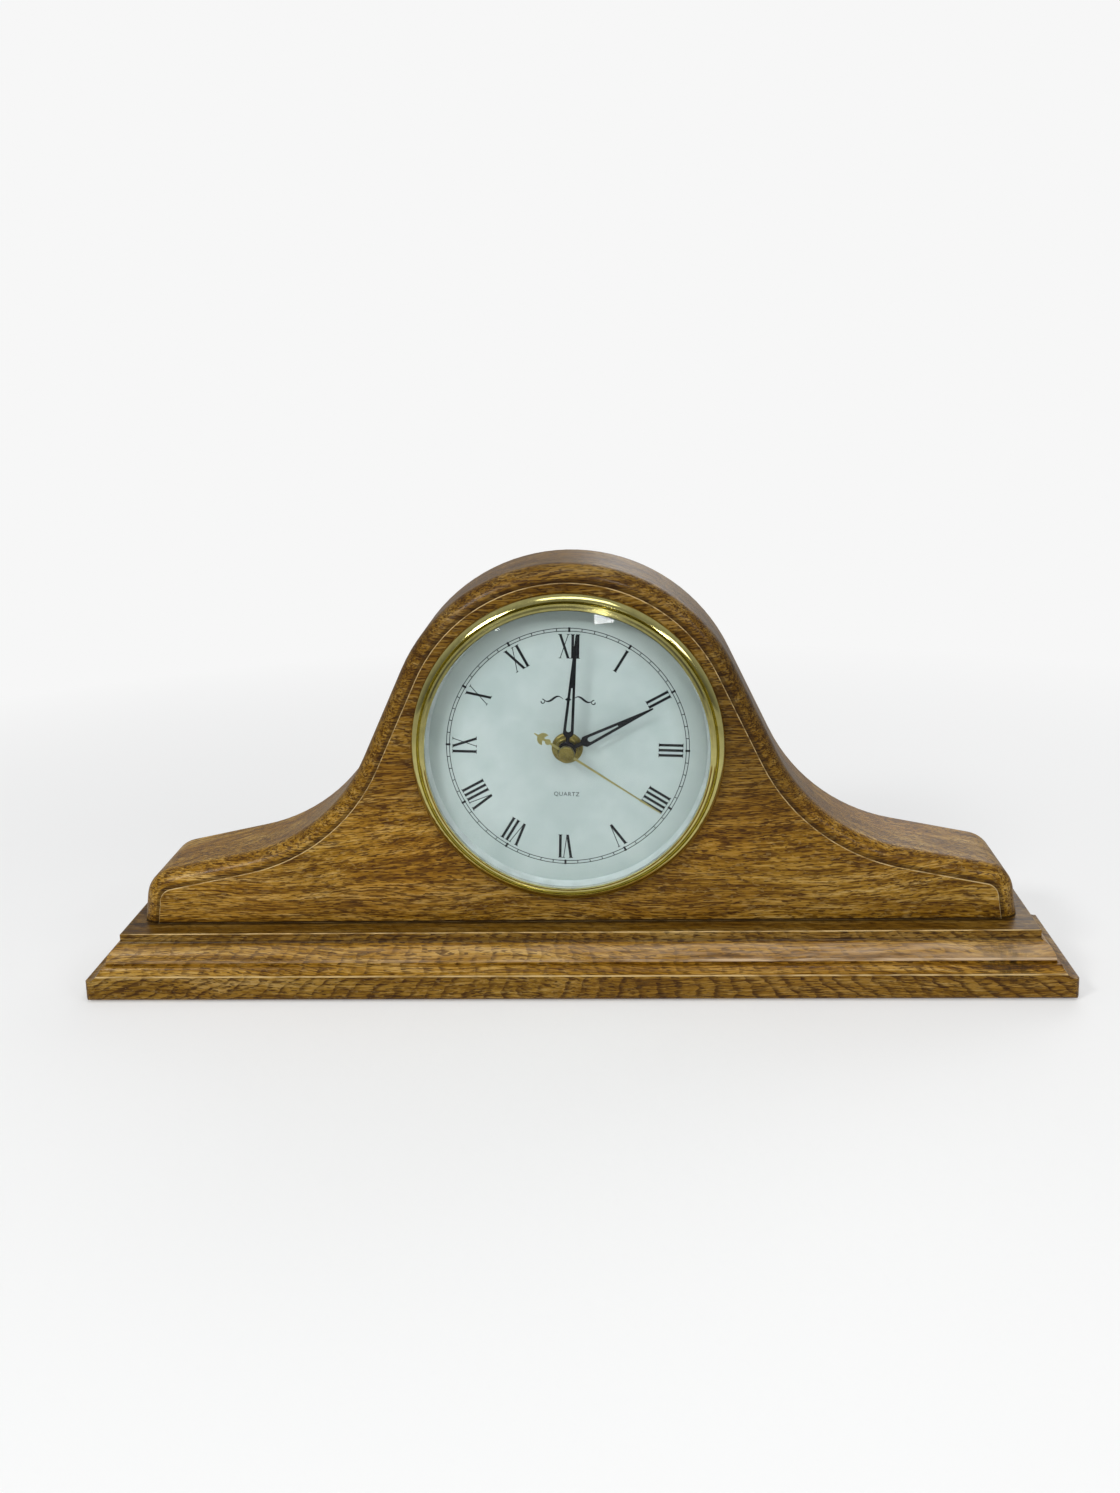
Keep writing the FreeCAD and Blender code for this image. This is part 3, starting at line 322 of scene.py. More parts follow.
def plinth_zone(g, bare):
    """The slab and the top's edge are darker than the moulding, palest at its right; the flat
    top is darker still, as painted shade.
    """
    x, y, z = g.parts(bare)
    slab_share = g.span(z, SLAB_ARRIS, PLINTH_TOP - 15.6, 0.68, 0.92)
    edge = g.math("MULTIPLY", within(g, z, EDGE_FOOT, EDGE_TOP, 0.3), -0.34)
    # Painted shade: the flat top made darker.
    top = g.span(z, PLINTH_TOP - 0.3, PLINTH_TOP - 0.1, 0.0, -0.30)
    blot = g.span(g.noise(g.stretch(bare, (0.32, 0.2, 0.1)), detail=3.0, rough=0.7), 0.36, 0.60)
    knot = g.math("MULTIPLY", blot,
                  oval(g, x, z, (195.0, PLINTH_TOP - 11.0), (17.0, 11.0), 0.3))
    shades = g.math("ADD", g.math("ADD", slab_share, edge), top)
    shades = g.math("MULTIPLY", shades, g.math("SUBTRACT", 1.0, g.math("MULTIPLY", knot, 0.75)))
    plain = g.math("MULTIPLY", g.math("SUBTRACT", 1.0, moulded(g, y)), 0.80)
    return g.math("ADD", g.math("MULTIPLY", shades, moulded(g, y)), plain)


def plinth_painted_sheen(g, bare):
    """Painted sheen and highlight bands on the moulding between the slab and the top, most at
    its right.
    """
    x, y, z = g.parts(bare)
    ovolo = g.math("MULTIPLY", within(g, z, OVOLO_FOOT, OVOLO_TOP, 0.4), 0.55)
    crown = g.math("MULTIPLY", within(g, z, OVOLO_CROWN, OVOLO_TOP, 0.5), 0.6)
    # Painted highlight on the small ledge under the ovolo.
    ledge_highlight = g.math("MULTIPLY", within(g, z, LEDGE_FOOT, LEDGE_TOP, 0.2), 1.6)
    bands = g.math("MAXIMUM", g.math("MAXIMUM", ovolo, crown), ledge_highlight)
    bands = g.math("MULTIPLY", bands, moulded(g, y))
    cloud = g.noise(g.stretch(bare, (0.05, 0.5, 0.5)), detail=3.0)
    sheen_share = g.math("MULTIPLY", bands, g.span(cloud, 0.38, 0.62, 0.35, 1.25))
    return g.math("MULTIPLY", sheen_share, g.span(x, -60.0, 120.0, 0.18, 0.60))


def ring_share(g, strength):
    """Ring strength, fainter at the moulding's height and on flat tops than elsewhere."""
    _, _, z = g.parts(g.place())
    moulding = within(g, z, PLINTH_TOP - 14.5, EDGE_TOP, 1.0)
    flat_top = g.span(g.facing(2), 0.75, 0.98)
    calm = g.math("MAXIMUM", g.math("MULTIPLY", moulding, 0.35),
                  g.math("MULTIPLY", flat_top, 0.75))
    return g.math("MULTIPLY", g.math("SUBTRACT", 1.0, calm), strength)


def within(g, value, low, high, soft=0.1):
    """1 between low and high, falling to 0 over soft outside them."""
    return g.math("MULTIPLY", g.span(value, low - soft, low),
                  g.span(value, high, high + soft, 1.0, 0.0))


def moulded(g, y):
    """0 on the plinth's plain back, and 1 elsewhere."""
    return g.span(y, PLINTH_BACK - 0.4, PLINTH_BACK - 0.1, 1.0, 0.0)


def nothing(g, bare):
    """No mark anywhere."""
    return 0.0


def front_arris_highlight(g, bare):
    """Painted highlight along the sanded edge round the case's flat face."""
    _, y, _ = g.parts(bare)
    return within(g, y, CASE_FACE + 0.06, CASE_FACE + 0.42, 0.06)


def front_painted_shade(g, bare):
    """Painted shade in the step beside the flat face, and in the joint under it."""
    _, y, z = g.parts(bare)
    # Painted shade in the step, and in the joint under the face.
    step_shade = within(g, y, CASE_FACE + 0.60, CASE_FACE + 1.02, 0.12)
    foot = g.span(z, CASE_FOOT / MM + 0.95, CASE_FOOT / MM + 1.25, 1.0, 0.0)
    return g.math("MAXIMUM", g.math("MULTIPLY", step_shade, 0.6), foot)


def plinth_arris_highlight(g, bare):
    """Painted highlight along the arrises of the slab and of the plinth's top."""
    _, _, z = g.parts(bare)
    tilt = within(g, g.facing(2), 0.16, 0.90, 0.06)
    slab_edge = within(g, z, SLAB_ARRIS, PLINTH_TOP - 15.8, 0.15)
    top_edge = g.span(z, PLINTH_TOP - 0.55, PLINTH_TOP - 0.40)
    return g.math("MULTIPLY", tilt, g.math("MAXIMUM", slab_edge, top_edge))


def plinth_painted_shade(g, bare):
    """Painted shade in the quirk under the top's edge, and on the top, most beside the case."""
    _, y, z = g.parts(bare)
    # Painted shade in the quirk, and on the flat top, darkest beside the case.
    quirk = g.math("MULTIPLY", moulded(g, y),
                   within(g, z, PLINTH_TOP - 4.6, PLINTH_TOP - 3.6, 0.4))
    top = g.span(z, PLINTH_TOP - 0.1, PLINTH_TOP - 0.05)
    beside = within(g, y, CASE_FACE - 0.5, CASE_FACE + 0.5, 1.6)
    shade_share = g.math("ADD", g.math("MULTIPLY", beside, 0.6), 0.30)
    return g.math("MAXIMUM", g.math("MULTIPLY", quirk, 0.45), g.math("MULTIPLY", top, shade_share))


def plank_rings(centre_y, centre_z, spacing):
    """Rings about a heart that runs along X, outside the board."""
    def ring_at(g, bent, x, y, z):
        _, by, bz = g.parts(bent)
        dy = g.math("SUBTRACT", by, centre_y)
        dz = g.math("SUBTRACT", bz, centre_z)
        reach = g.hypot(dy, dz)
        warp = g.noise(g.stretch(bent, (0.012, 0.02, 0.02)), detail=2.0)
        reach = g.math("ADD", reach, g.math("MULTIPLY", warp, 30.0))
        return g.math("DIVIDE", reach, spacing)
    return ring_at


def fan_rings(middle_x, spread, spacing):
    """Rings that cross a board's edge as a fan, slanted at both ends and upright between."""
    def ring_at(g, bent, x, y, z):
        warp = g.noise(g.stretch(g.vector(x, y, z), (0.035, 0.11, 0.11)), detail=3.0,
                       rough=0.6)
        rise = g.math("EXPONENT", g.math("MULTIPLY", z, spread))
        along = g.math("MULTIPLY", g.math("SUBTRACT", x, middle_x), rise)
        depth = g.math("MULTIPLY", y, 0.8)
        along = g.math("ADD", g.math("ADD", along, depth), g.math("MULTIPLY", warp, 18.0))
        return g.math("DIVIDE", along, spacing)
    return ring_at


# ------------------------------------------------------------------ other materials
def metal(name, colour, rough, scratch=0.08, dull=0.12):
    g = Graph(name, Metallic=1.0, Roughness=rough)
    p = g.place()
    fine = g.noise(g.stretch(p, (9.0, 9.0, 1.3)), detail=3.0, rough=0.7)
    stain = g.noise(p, 0.25, detail=3.0, rough=0.6)
    tone = g.ramp(stain, [(0.30, shade(colour, 1.0 - dull)), (0.55, colour),
                          (0.75, shade(colour, 1.04))])
    g.colour(g.mix(g.span(fine, 0.62, 0.8, 0.0, 0.35), tone, shade(colour, 0.7)))
    g.roughness(g.span(fine, 0.3, 0.75, max(rough - scratch, 0.03), rough + scratch))
    g.bump(fine, 0.01, 0.25)
    return g


def plastic(name, colour, rough, grain, depth=0.03):
    g = Graph(name, Roughness=rough)
    p = g.place()
    spark = g.noise(p, grain, detail=2.0, rough=0.6)
    cloud = g.noise(p, 0.12, detail=2.0)
    tone = g.ramp(cloud, [(0.35, shade(colour, 1.0 - 0.12)), (0.65, shade(colour, 1.0 + 0.12))])
    g.colour(g.mix(g.span(spark, 0.35, 0.7, 0.0, 0.25), tone, shade(colour, 0.7)))
    g.roughness(g.span(spark, 0.3, 0.7, rough - 0.08, min(rough + 0.12, 1.0)))
    g.bump(spark, depth, 0.6)
    return g


def clear(name, tint, ior):
    """Thin clear shell: it mirrors as glass does, and bends no light, as its two faces are
    nearly parallel. Lamp light passes through to what is behind it."""
    g = Graph(name, Roughness=0.0, IOR=1.0, Transmission_Weight=1.0, Coat_Weight=1.0,
              Coat_Roughness=0.0, Coat_IOR=ior)
    g.shader.inputs["Base Color"].default_value = solid(tint)
    shadow = g.node("ShaderNodeLightPath").outputs["Is Shadow Ray"]
    see_through = g.node("ShaderNodeBsdfTransparent")
    see_through.inputs["Color"].default_value = solid(tint)
    g.surface(shadow, g.shader.outputs["BSDF"], see_through.outputs["BSDF"])
    return g


def dial_silver(name):
    """Silvered dial, lightly mottled."""
    g = Graph(name, Metallic=0.35, Roughness=0.5, Specular_IOR_Level=0.5)
    p = g.place()
    cloud = g.noise(p, 0.035, detail=3.0, rough=0.6)
    mottle = g.noise(p, 1.1, detail=3.0, rough=0.7)
    tone = g.ramp(cloud, [(0.32, (0.405, 0.485, 0.475)), (0.5, (0.455, 0.535, 0.525)),
                          (0.7, (0.515, 0.59, 0.58))])
    body = g.mix(g.span(mottle, 0.3, 0.72, 0.0, 0.22), tone, (0.36, 0.43, 0.425))
    # Painted shadow of the bezel: the dial is greyer round its edge, least of all at the foot.
    x, _, z = g.parts(p)
    across = g.math("SUBTRACT", x, DIAL_X / MM)
    up = g.math("SUBTRACT", z, DIAL_Z / MM)
    bezel_shadow = g.math("MULTIPLY", g.span(g.hypot(across, up), 48.0, 66.0),
                 g.span(up, -45.0, 10.0, 0.15, 1.0))
    g.colour(g.mix(g.math("MULTIPLY", bezel_shadow, 0.6), body, (0.19, 0.215, 0.18)))
    g.roughness(g.span(mottle, 0.3, 0.7, 0.42, 0.58))
    g.bump(mottle, 0.01, 0.2)
    return g


def cell_sleeve(name):
    """AA cell: plain printed sleeve between bare steel ends."""
    g = Graph(name, Roughness=0.32)
    low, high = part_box("battery")
    x, _, _ = g.parts(g.place())
    start, end = low.x / MM, high.x / MM
    sleeve = g.math("MULTIPLY", g.span(x, start + 2.6, start + 2.7),
                    g.span(x, end - 1.1, end - 1.0, 1.0, 0.0))
    band = g.math("MULTIPLY", g.span(x, start + 9.0, start + 9.1),
                  g.span(x, start + 11.0, start + 11.1, 1.0, 0.0))
    fleck = g.noise(g.place(), 1.6, detail=3.0, rough=0.7)
    blue = g.ramp(fleck, [(0.3, (0.012, 0.030, 0.085)), (0.7, (0.020, 0.045, 0.120))])
    colour = g.mix(band, blue, (0.62, 0.63, 0.62))
    steel = g.ramp(fleck, [(0.3, (0.50, 0.50, 0.48)), (0.7, (0.62, 0.62, 0.60))])
    g.colour(g.mix(sleeve, steel, colour))
    g.join(g.span(sleeve, 0.0, 1.0, 1.0, 0.25), g.shader.inputs["Metallic"])
    g.bump(fleck, 0.01, 0.2)
    return g


def felt(name, colour):
    g = Graph(name, Roughness=0.95, Sheen_Weight=0.5, Sheen_Roughness=0.6)
    p = g.place()
    fibre = g.noise(p, 2.6, detail=4.0, rough=0.8, distort=1.5)
    g.colour(g.ramp(fibre, [(0.3, shade(colour, 0.6)), (0.55, colour),
                            (0.8, shade(colour, 1.6))]))
    g.bump(fibre, 0.3, 0.8)
    return g


def board(name):
    """Green solder mask over broken copper tracks."""
    g = Graph(name, Roughness=0.35, Coat_Weight=0.3)
    _, _, z = g.parts(g.place())
    tracks = g.math("LESS_THAN", g.math("FRACT", g.math("MULTIPLY", z, 0.55)), 0.22)
    breaks = g.math("GREATER_THAN", g.noise(g.place(scale=(0.2, 0.2, 0.2)), 1.0), 0.46)
    speck = g.noise(g.place(), 2.0, detail=2.0)
    mask = g.ramp(speck, [(0.3, (0.010, 0.085, 0.035)), (0.7, (0.016, 0.12, 0.05))])
    g.colour(g.mix(g.math("MULTIPLY", tracks, breaks), mask, (0.03, 0.20, 0.08)))
    g.bump(tracks, 0.03, 0.5)
    return g


def ink(name, colour, rough=0.5):
    """Flat black paint or print."""
    g = Graph(name, Roughness=rough, Specular_IOR_Level=0.2)
    speck = g.noise(g.place(), 6.0, detail=2.0)
    g.colour(g.ramp(speck, [(0.35, colour), (0.75, shade(colour, 2.2))]))
    g.bump(speck, 0.005, 0.3)
    return g


def make_materials():
    made = {
        "oak_front": oak("oak_front", (13.0, 7.0, 5.0), plank_rings(95.0, -60.0, 5.5), 0.28,
                         0.565, front_arris_highlight, front_painted_shade, front_zone, nothing),
        "oak_back": oak("oak_back", (151.0, 31.0, 57.0), plank_rings(-140.0, 260.0, 8.5), 0.35,
                        0.59, nothing, nothing, back_zone, nothing),
        "oak_plinth": oak("oak_plinth", (0.0, 0.0, 0.0), fan_rings(25.0, 0.0085, 9.0), 0.9,
                          0.59, plinth_arris_highlight, plinth_painted_shade, plinth_zone, plinth_painted_sheen),
        "bezel_brass": metal("bezel_brass", (0.62, 0.56, 0.21), 0.11, scratch=0.05, dull=0.15),
        "hub_brass": metal("hub_brass", (0.27, 0.22, 0.065), 0.34, scratch=0.12, dull=0.45),
        "arbor_brass": metal("arbor_brass", (0.70, 0.56, 0.24), 0.25),
        "steel": metal("steel", (0.62, 0.62, 0.60), 0.28),
        "copper_wire": metal("copper_wire", (0.70, 0.28, 0.12), 0.3, scratch=0.15),
        "magnet": metal("magnet", (0.16, 0.16, 0.165), 0.5),
        "hand_gilt": metal("hand_gilt", (0.42, 0.38, 0.15), 0.34, scratch=0.08, dull=0.15),
        "hand_black": ink("hand_black", (0.003, 0.003, 0.004), 0.42),
        "black_plastic": plastic("black_plastic", (0.012, 0.012, 0.013), 0.5, 2.4, depth=0.05),
        "cup_plastic": plastic("cup_plastic", (0.016, 0.016, 0.016), 0.55, 1.6, depth=0.05),
        "white_plastic": plastic("white_plastic", (0.66, 0.68, 0.66), 0.4, 1.6),
        # Greyer than the white plastic, in part as painted shade under the bezel's lip.
        "spacer": plastic("spacer", (0.42, 0.47, 0.47), 0.4, 1.6),
        "gear_plastic": plastic("gear_plastic", (0.70, 0.68, 0.58), 0.42, 2.0),
        "rubber": plastic("rubber", (0.020, 0.020, 0.020), 0.75, 2.8, depth=0.06),
        "vinyl": plastic("vinyl", (0.55, 0.58, 0.57), 0.3, 1.2),
        "chip": plastic("chip", (0.010, 0.010, 0.010), 0.25, 1.0),
        "board": board("board"),
        "dial": dial_silver("dial"),
        "lens": clear("lens", (0.97, 0.985, 0.98), 1.22),
        "cell": cell_sleeve("cell"),
        "felt": felt("felt", (0.018, 0.035, 0.018)),
        "ink": ink("ink", (0.004, 0.004, 0.005)),
    }
    return {key: g.mat for key, g in made.items()}


LOOKS = {
    "base_plinth": "oak_plinth", "base_felt": "felt", "base_screws": "steel",
    "case_front_board": "oak_front", "case_back_board": "oak_back",
    "insert_cup": "cup_plastic", "friction_band": "rubber", "bezel_ring": "bezel_brass",
    "bezel_inner_ring": "bezel_brass", "crystal_lens": "lens", "lens_gasket": "vinyl",
    "dial_spacer": "spacer", "dial_face": "dial", "movement_gasket": "rubber",
    "movement_front_shell": "black_plastic", "movement_rear_shell": "black_plastic",
    "centre_bushing": "hub_brass", "bushing_washer": "hub_brass", "bushing_nut": "hub_brass",
    "circuit_board": "board", "quartz_crystal": "steel", "control_chip": "chip",
    "coil_core": "steel", "coil_bobbin": "white_plastic", "coil_winding": "copper_wire",
    "stator": "steel", "battery_contact_positive": "steel", "battery_contact_negative": "steel",
    "battery": "cell", "rotor_magnet": "magnet", "rotor_pinion": "gear_plastic",
    "fifth_wheel": "gear_plastic", "third_wheel": "gear_plastic",
    "seconds_wheel": "gear_plastic", "centre_wheel": "gear_plastic",
    "minute_arbor": "arbor_brass", "minute_wheel": "gear_plastic", "hour_wheel": "gear_plastic",
    "setting_pinion": "gear_plastic", "setting_knob": "white_plastic",
    "hour_hand": "hand_black", "minute_hand": "hand_black", "seconds_hand": "hand_gilt",
    "seconds_cap": "hub_brass",
}


def dress(obj, material):
    obj.data.materials.clear()
    obj.data.materials.append(material)


# ------------------------------------------------------------------ printing on the dial
# Heights above the dial, distances from its centre and widths, all in mm.
PRINT_BACK = 0.005
PRINT_FRONT = 0.035
OVERPRINT = 0.004
NUMERAL_FOOT = 41.3
NUMERAL_HEIGHT = 11.1
THICK, THIN, SERIF = 1.22, 0.36, 0.32
TRACK_OUTER, TRACK_INNER, TRACK_LINE = 55.3, 53.6, 0.32
HOUR_TICK_HALF, MINUTE_TICK_HALF = 0.48, 0.18
ORNAMENT_V = 22.4
ORNAMENT_STEPS = 36
WORD_SIZE, WORD_FOOT, WORD_SPACING = 2.7, -22.8, 1.12

# The lens, in mm, and how finely its dome is divided.
LENS_THICKNESS = 2.0
LENS_RINGS = 48
LENS_STEPS = 192


def on_dial(u, v, angle=0.0, radius=0.0):
    """Row-frame (x, z) in metres of a point in a box whose foot is at radius, at angle."""
    turn = math.radians(angle) + DIAL_TURN
    r = radius + v
    return (DIAL_X + (u * math.cos(turn) + r * math.sin(turn)) * MM,
            DIAL_Z + (-u * math.sin(turn) + r * math.cos(turn)) * MM)


def slab(bm, outline, front=PRINT_FRONT):
    """Thin closed plate from a clockwise or anticlockwise outline of row-frame (x, z)."""
    rear = [bm.verts.new((x, DIAL_Y - PRINT_BACK * MM, z)) for x, z in outline]
    face = [bm.verts.new((x, DIAL_Y - front * MM, z)) for x, z in outline]
    bm.faces.new(rear)
    bm.faces.new(list(reversed(face)))
    for i in range(len(outline)):
        j = (i + 1) % len(outline)
        bm.faces.new((rear[j], rear[i], face[i], face[j]))


def ring_plate(bm, inner, outer, steps=240):
    """Thin closed annulus round the dial's centre."""
    loops = []
    for radius, height in ((inner, PRINT_BACK), (outer, PRINT_BACK),
                           (outer, PRINT_FRONT), (inner, PRINT_FRONT)):
        loop = []
        for i in range(steps):
            x, z = on_dial(0, radius, 360.0 * i / steps)
            loop.append(bm.verts.new((x, DIAL_Y - height * MM, z)))
        loops.append(loop)
    for a, b in zip(loops, loops[1:] + loops[:1]):
        for i in range(steps):
            j = (i + 1) % steps
            bm.faces.new((a[i], a[j], b[j], b[i]))


def ride_insert(name, bm, material):
    """The mesh as a new piece that moves with the insert."""
    bmesh.ops.recalc_face_normals(bm, faces=bm.faces)
    mesh = bpy.data.meshes.new(name)
    bm.to_mesh(mesh)
    bm.free()
    obj = bpy.data.objects.new(name, mesh)
    bpy.context.scene.collection.objects.link(obj)
    dress(obj, material)
    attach(obj, "insert")
    return obj


def stroke(top_u, foot_u, width):
    half, top = width / 2, NUMERAL_HEIGHT
    return [(foot_u - half, 0.0), (foot_u + half, 0.0), (top_u + half, top), (top_u - half, top)]


def serif(u0, u1, at_top):
    v0, v1 = (NUMERAL_HEIGHT - SERIF, NUMERAL_HEIGHT) if at_top else (0.0, SERIF)
    return [(u0, v0), (u1, v0), (u1, v1), (u0, v1)]


def letter_i(u):
    plates = [stroke(u + 0.6, u + 0.6, THICK)]
    plates += [serif(u - 0.35, u + 1.55, top) for top in (True, False)]
    return plates, 2.38


def letter_v(u):
    plates = [stroke(u + 0.6, u + 2.35, THICK), stroke(u + 4.0, u + 2.6, THIN)]
    plates += [serif(u - 0.35, u + 1.55, True), serif(u + 3.4, u + 4.6, True)]
    return plates, 5.0


def letter_x(u):
    plates = [stroke(u + 0.6, u + 4.4, THICK), stroke(u + 4.3, u + 0.7, THIN)]
    plates += [serif(u - 0.3, u + 1.45, True), serif(u + 3.6, u + 4.9, True)]
    plates += [serif(u + 3.6, u + 5.3, False), serif(u + 0.1, u + 1.3, False)]
    return plates, 5.7


LETTERS = {"I": letter_i, "V": letter_v, "X": letter_x}
HOURS = ["XII", "I", "II", "III", "IIII", "V", "VI", "VII", "VIII", "IX", "X", "XI"]


def dial_numerals(material):
    bm = bmesh.new()
    for hour, text in enumerate(HOURS):
        plates, u = [], 0.0
        for letter in text:
            made, advance = LETTERS[letter](u)
            plates += made
            u += advance
        low = min(p[0] for plate in plates for p in plate)
        high = max(p[0] for plate in plates for p in plate)
        middle = (low + high) / 2
        for number, plate in enumerate(plates):
            front = PRINT_FRONT + 0.001 * (number % 5)
            slab(bm, [on_dial(a - middle, b, hour * 30, NUMERAL_FOOT) for a, b in plate],
                 front=front)
    ride_insert("dial_numerals", bm, material)


def dial_track(material):
    bm = bmesh.new()
    for radius in (TRACK_INNER, TRACK_OUTER - TRACK_LINE):
        ring_plate(bm, radius, radius + TRACK_LINE)
    for minute in range(60):
        half = HOUR_TICK_HALF if minute % 5 == 0 else MINUTE_TICK_HALF
        foot, top = TRACK_INNER, TRACK_OUTER
        if minute % 5 == 0:
            foot, top = TRACK_INNER - 0.25, TRACK_OUTER + 0.2
        box = [(-half, 0.0), (half, 0.0), (half, top - foot), (-half, top - foot)]
        slab(bm, [on_dial(a, b, minute * 6, foot) for a, b in box],
             front=PRINT_FRONT + OVERPRINT)
    ride_insert("dial_minute_track", bm, material)


def ribbon(bm, stations):
    """Thin closed plate along (u, v, width) stations measured from the dial's centre."""
    loops = []
    for i, (u, v, width) in enumerate(stations):
        before = stations[max(i - 1, 0)]
        after = stations[min(i + 1, len(stations) - 1)]
        du, dv = after[0] - before[0], after[1] - before[1]
        reach = math.hypot(du, dv)
        nu, nv = -dv / reach * width / 2, du / reach * width / 2
        loop = []
        for side, height in ((1, PRINT_BACK), (-1, PRINT_BACK),
                             (-1, PRINT_FRONT), (1, PRINT_FRONT)):
            x, z = on_dial(u + side * nu, v + side * nv)
            loop.append(bm.verts.new((x, DIAL_Y - height * MM, z)))
        loops.append(loop)
    for a, b in zip(loops, loops[1:]):
        for i in range(4):
            j = (i + 1) % 4
            bm.faces.new((a[i], a[j], b[j], b[i]))
    bm.faces.new(list(reversed(loops[0])))
    bm.faces.new(loops[-1])


def dial_ornament(material):
    """A plain printed flourish: a lozenge between two mirrored scrolls."""
    bm = bmesh.new()
    for side in (1, -1):
        stations = []
        for i in range(ORNAMENT_STEPS + 1):
            t = i / ORNAMENT_STEPS
            u = 2.2 + 9.6 * t
            v = ORNAMENT_V + 1.5 * math.sin(2.0 * math.pi * t) * (1.0 - 0.35 * t)
            stations.append((side * u, v, 0.24 + 0.76 * math.sin(math.pi * t) ** 2))
        ribbon(bm, stations)
        curl = []
        for i in range(ORNAMENT_STEPS + 1):
            t = i / ORNAMENT_STEPS
            angle = math.pi * (0.5 + 1.6 * t)
            radius = 1.25 - 0.75 * t
            curl.append((side * (11.6 + radius * math.cos(angle)),
                         ORNAMENT_V - 1.25 + radius * math.sin(angle),
                         0.26 + 0.34 * t))
        ribbon(bm, curl)
    slab(bm, [on_dial(a, b + ORNAMENT_V) for a, b in ((-1.5, 0), (0, -1.1), (1.5, 0), (0, 1.1))],
         front=PRINT_FRONT + OVERPRINT)
    ride_insert("dial_ornament", bm, material)


def smooth_lens(material):
    """The CAD lens's dome again, in rings so fine that a lamp's reflection has a clean edge."""
    low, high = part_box("crystal_lens")
    middle_x, middle_z = (low.x + high.x) / 2, (low.z + high.z) / 2
    edge_r = (high.x - low.x) / 2
    thickness = LENS_THICKNESS * MM
    rise = high.y - low.y - thickness
    sphere_r = (edge_r ** 2 + rise ** 2) / (2 * rise)
    bm = bmesh.new()
    shells = []
    for depth in (0.0, thickness):
        apex = bm.verts.new((middle_x, low.y + depth, middle_z))
        rings = []
        for i in range(1, LENS_RINGS + 1):
            r = edge_r * i / LENS_RINGS
            y = low.y + depth + sphere_r - math.sqrt(sphere_r ** 2 - r ** 2)
            rings.append([bm.verts.new((middle_x + r * math.cos(math.tau * k / LENS_STEPS), y,
                                        middle_z + r * math.sin(math.tau * k / LENS_STEPS)))
                          for k in range(LENS_STEPS)])
        shells.append(rings[-1])
        for k in range(LENS_STEPS):
            bm.faces.new((apex, rings[0][k], rings[0][(k + 1) % LENS_STEPS])).smooth = True
        for a, b in zip(rings, rings[1:]):
            for k in range(LENS_STEPS):
                n = (k + 1) % LENS_STEPS
                bm.faces.new((a[k], b[k], b[n], a[n])).smooth = True
    front, back = shells
    for k in range(LENS_STEPS):
        n = (k + 1) % LENS_STEPS
        bm.faces.new((front[k], back[k], back[n], front[n]))
        bm.edges.get((front[k], front[n])).smooth = False
        bm.edges.get((back[k], back[n])).smooth = False
    obj = ride_insert("domed_lens", bm, material)
    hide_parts("crystal_lens")


def letters_on_dial(name, text, material):
    """Plain lettering, upright on the dial below its centre."""
    curve = bpy.data.curves.new(name, "FONT")
    curve.body = text
    curve.size = WORD_SIZE * MM
    curve.space_character = WORD_SPACING
    curve.align_x = "CENTER"
    curve.extrude = 0.012 * MM
    curve.resolution_u = 6
    temp = bpy.data.objects.new(name + "_curve", curve)
    bpy.context.scene.collection.objects.link(temp)
    bpy.context.view_layer.update()
    mesh = bpy.data.meshes.new_from_object(temp)
    mesh.name = name
    bpy.data.objects.remove(temp)
    cos, sin = math.cos(DIAL_TURN), math.sin(DIAL_TURN)
    for vert in mesh.vertices:
        u, v = vert.co.x, vert.co.y + WORD_FOOT * MM
        depth = DIAL_Y - 0.02 * MM - vert.co.z
        vert.co = (DIAL_X + u * cos + v * sin, depth, DIAL_Z - u * sin + v * cos)
    obj = bpy.data.objects.new(name, mesh)
    bpy.context.scene.collection.objects.link(obj)
    dress(obj, material)
    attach(obj, "insert")


# ------------------------------------------------------------------ light and floor
STUDIO_WHITE = (0.93, 0.93, 0.93, 1.0)
FLOOR_TINT = (0.88, 0.88, 0.87, 1.0)
FLOOR_RADIUS = 25.0
FLOOR_IN_MIRRORS = 0.45
SKY_UP = (0.0, 0.62, 0.78)
SKY_LOW = (0.22, (0.08, 0.08, 0.08, 1.0))
SKY_HIGH = (0.80, (0.95, 0.97, 1.0, 1.0))
SKY_STRENGTH = 0.45
LAMP_TARGET = (0.0, 0.0, 0.1)
# Name, place in m, size in m and power in W.
LAMPS = [
    ("key", (-0.80, -1.05, 0.98), (0.40, 0.24), 10.0),
    ("panel", (0.245, -1.0, 0.83), (0.15, 0.09), 2.2),
    ("panel_right", (0.74, -1.0, 0.74), (0.12, 0.08), 0.9),
    ("top", (0.10, -0.45, 1.5), (0.9, 0.45), 4.5),
    ("fill", (1.45, -1.15, 1.05), (0.5, 0.4), 4.0),
    ("rear", (0.6, 1.5, 0.9), (1.2, 0.8), 7.0),
]


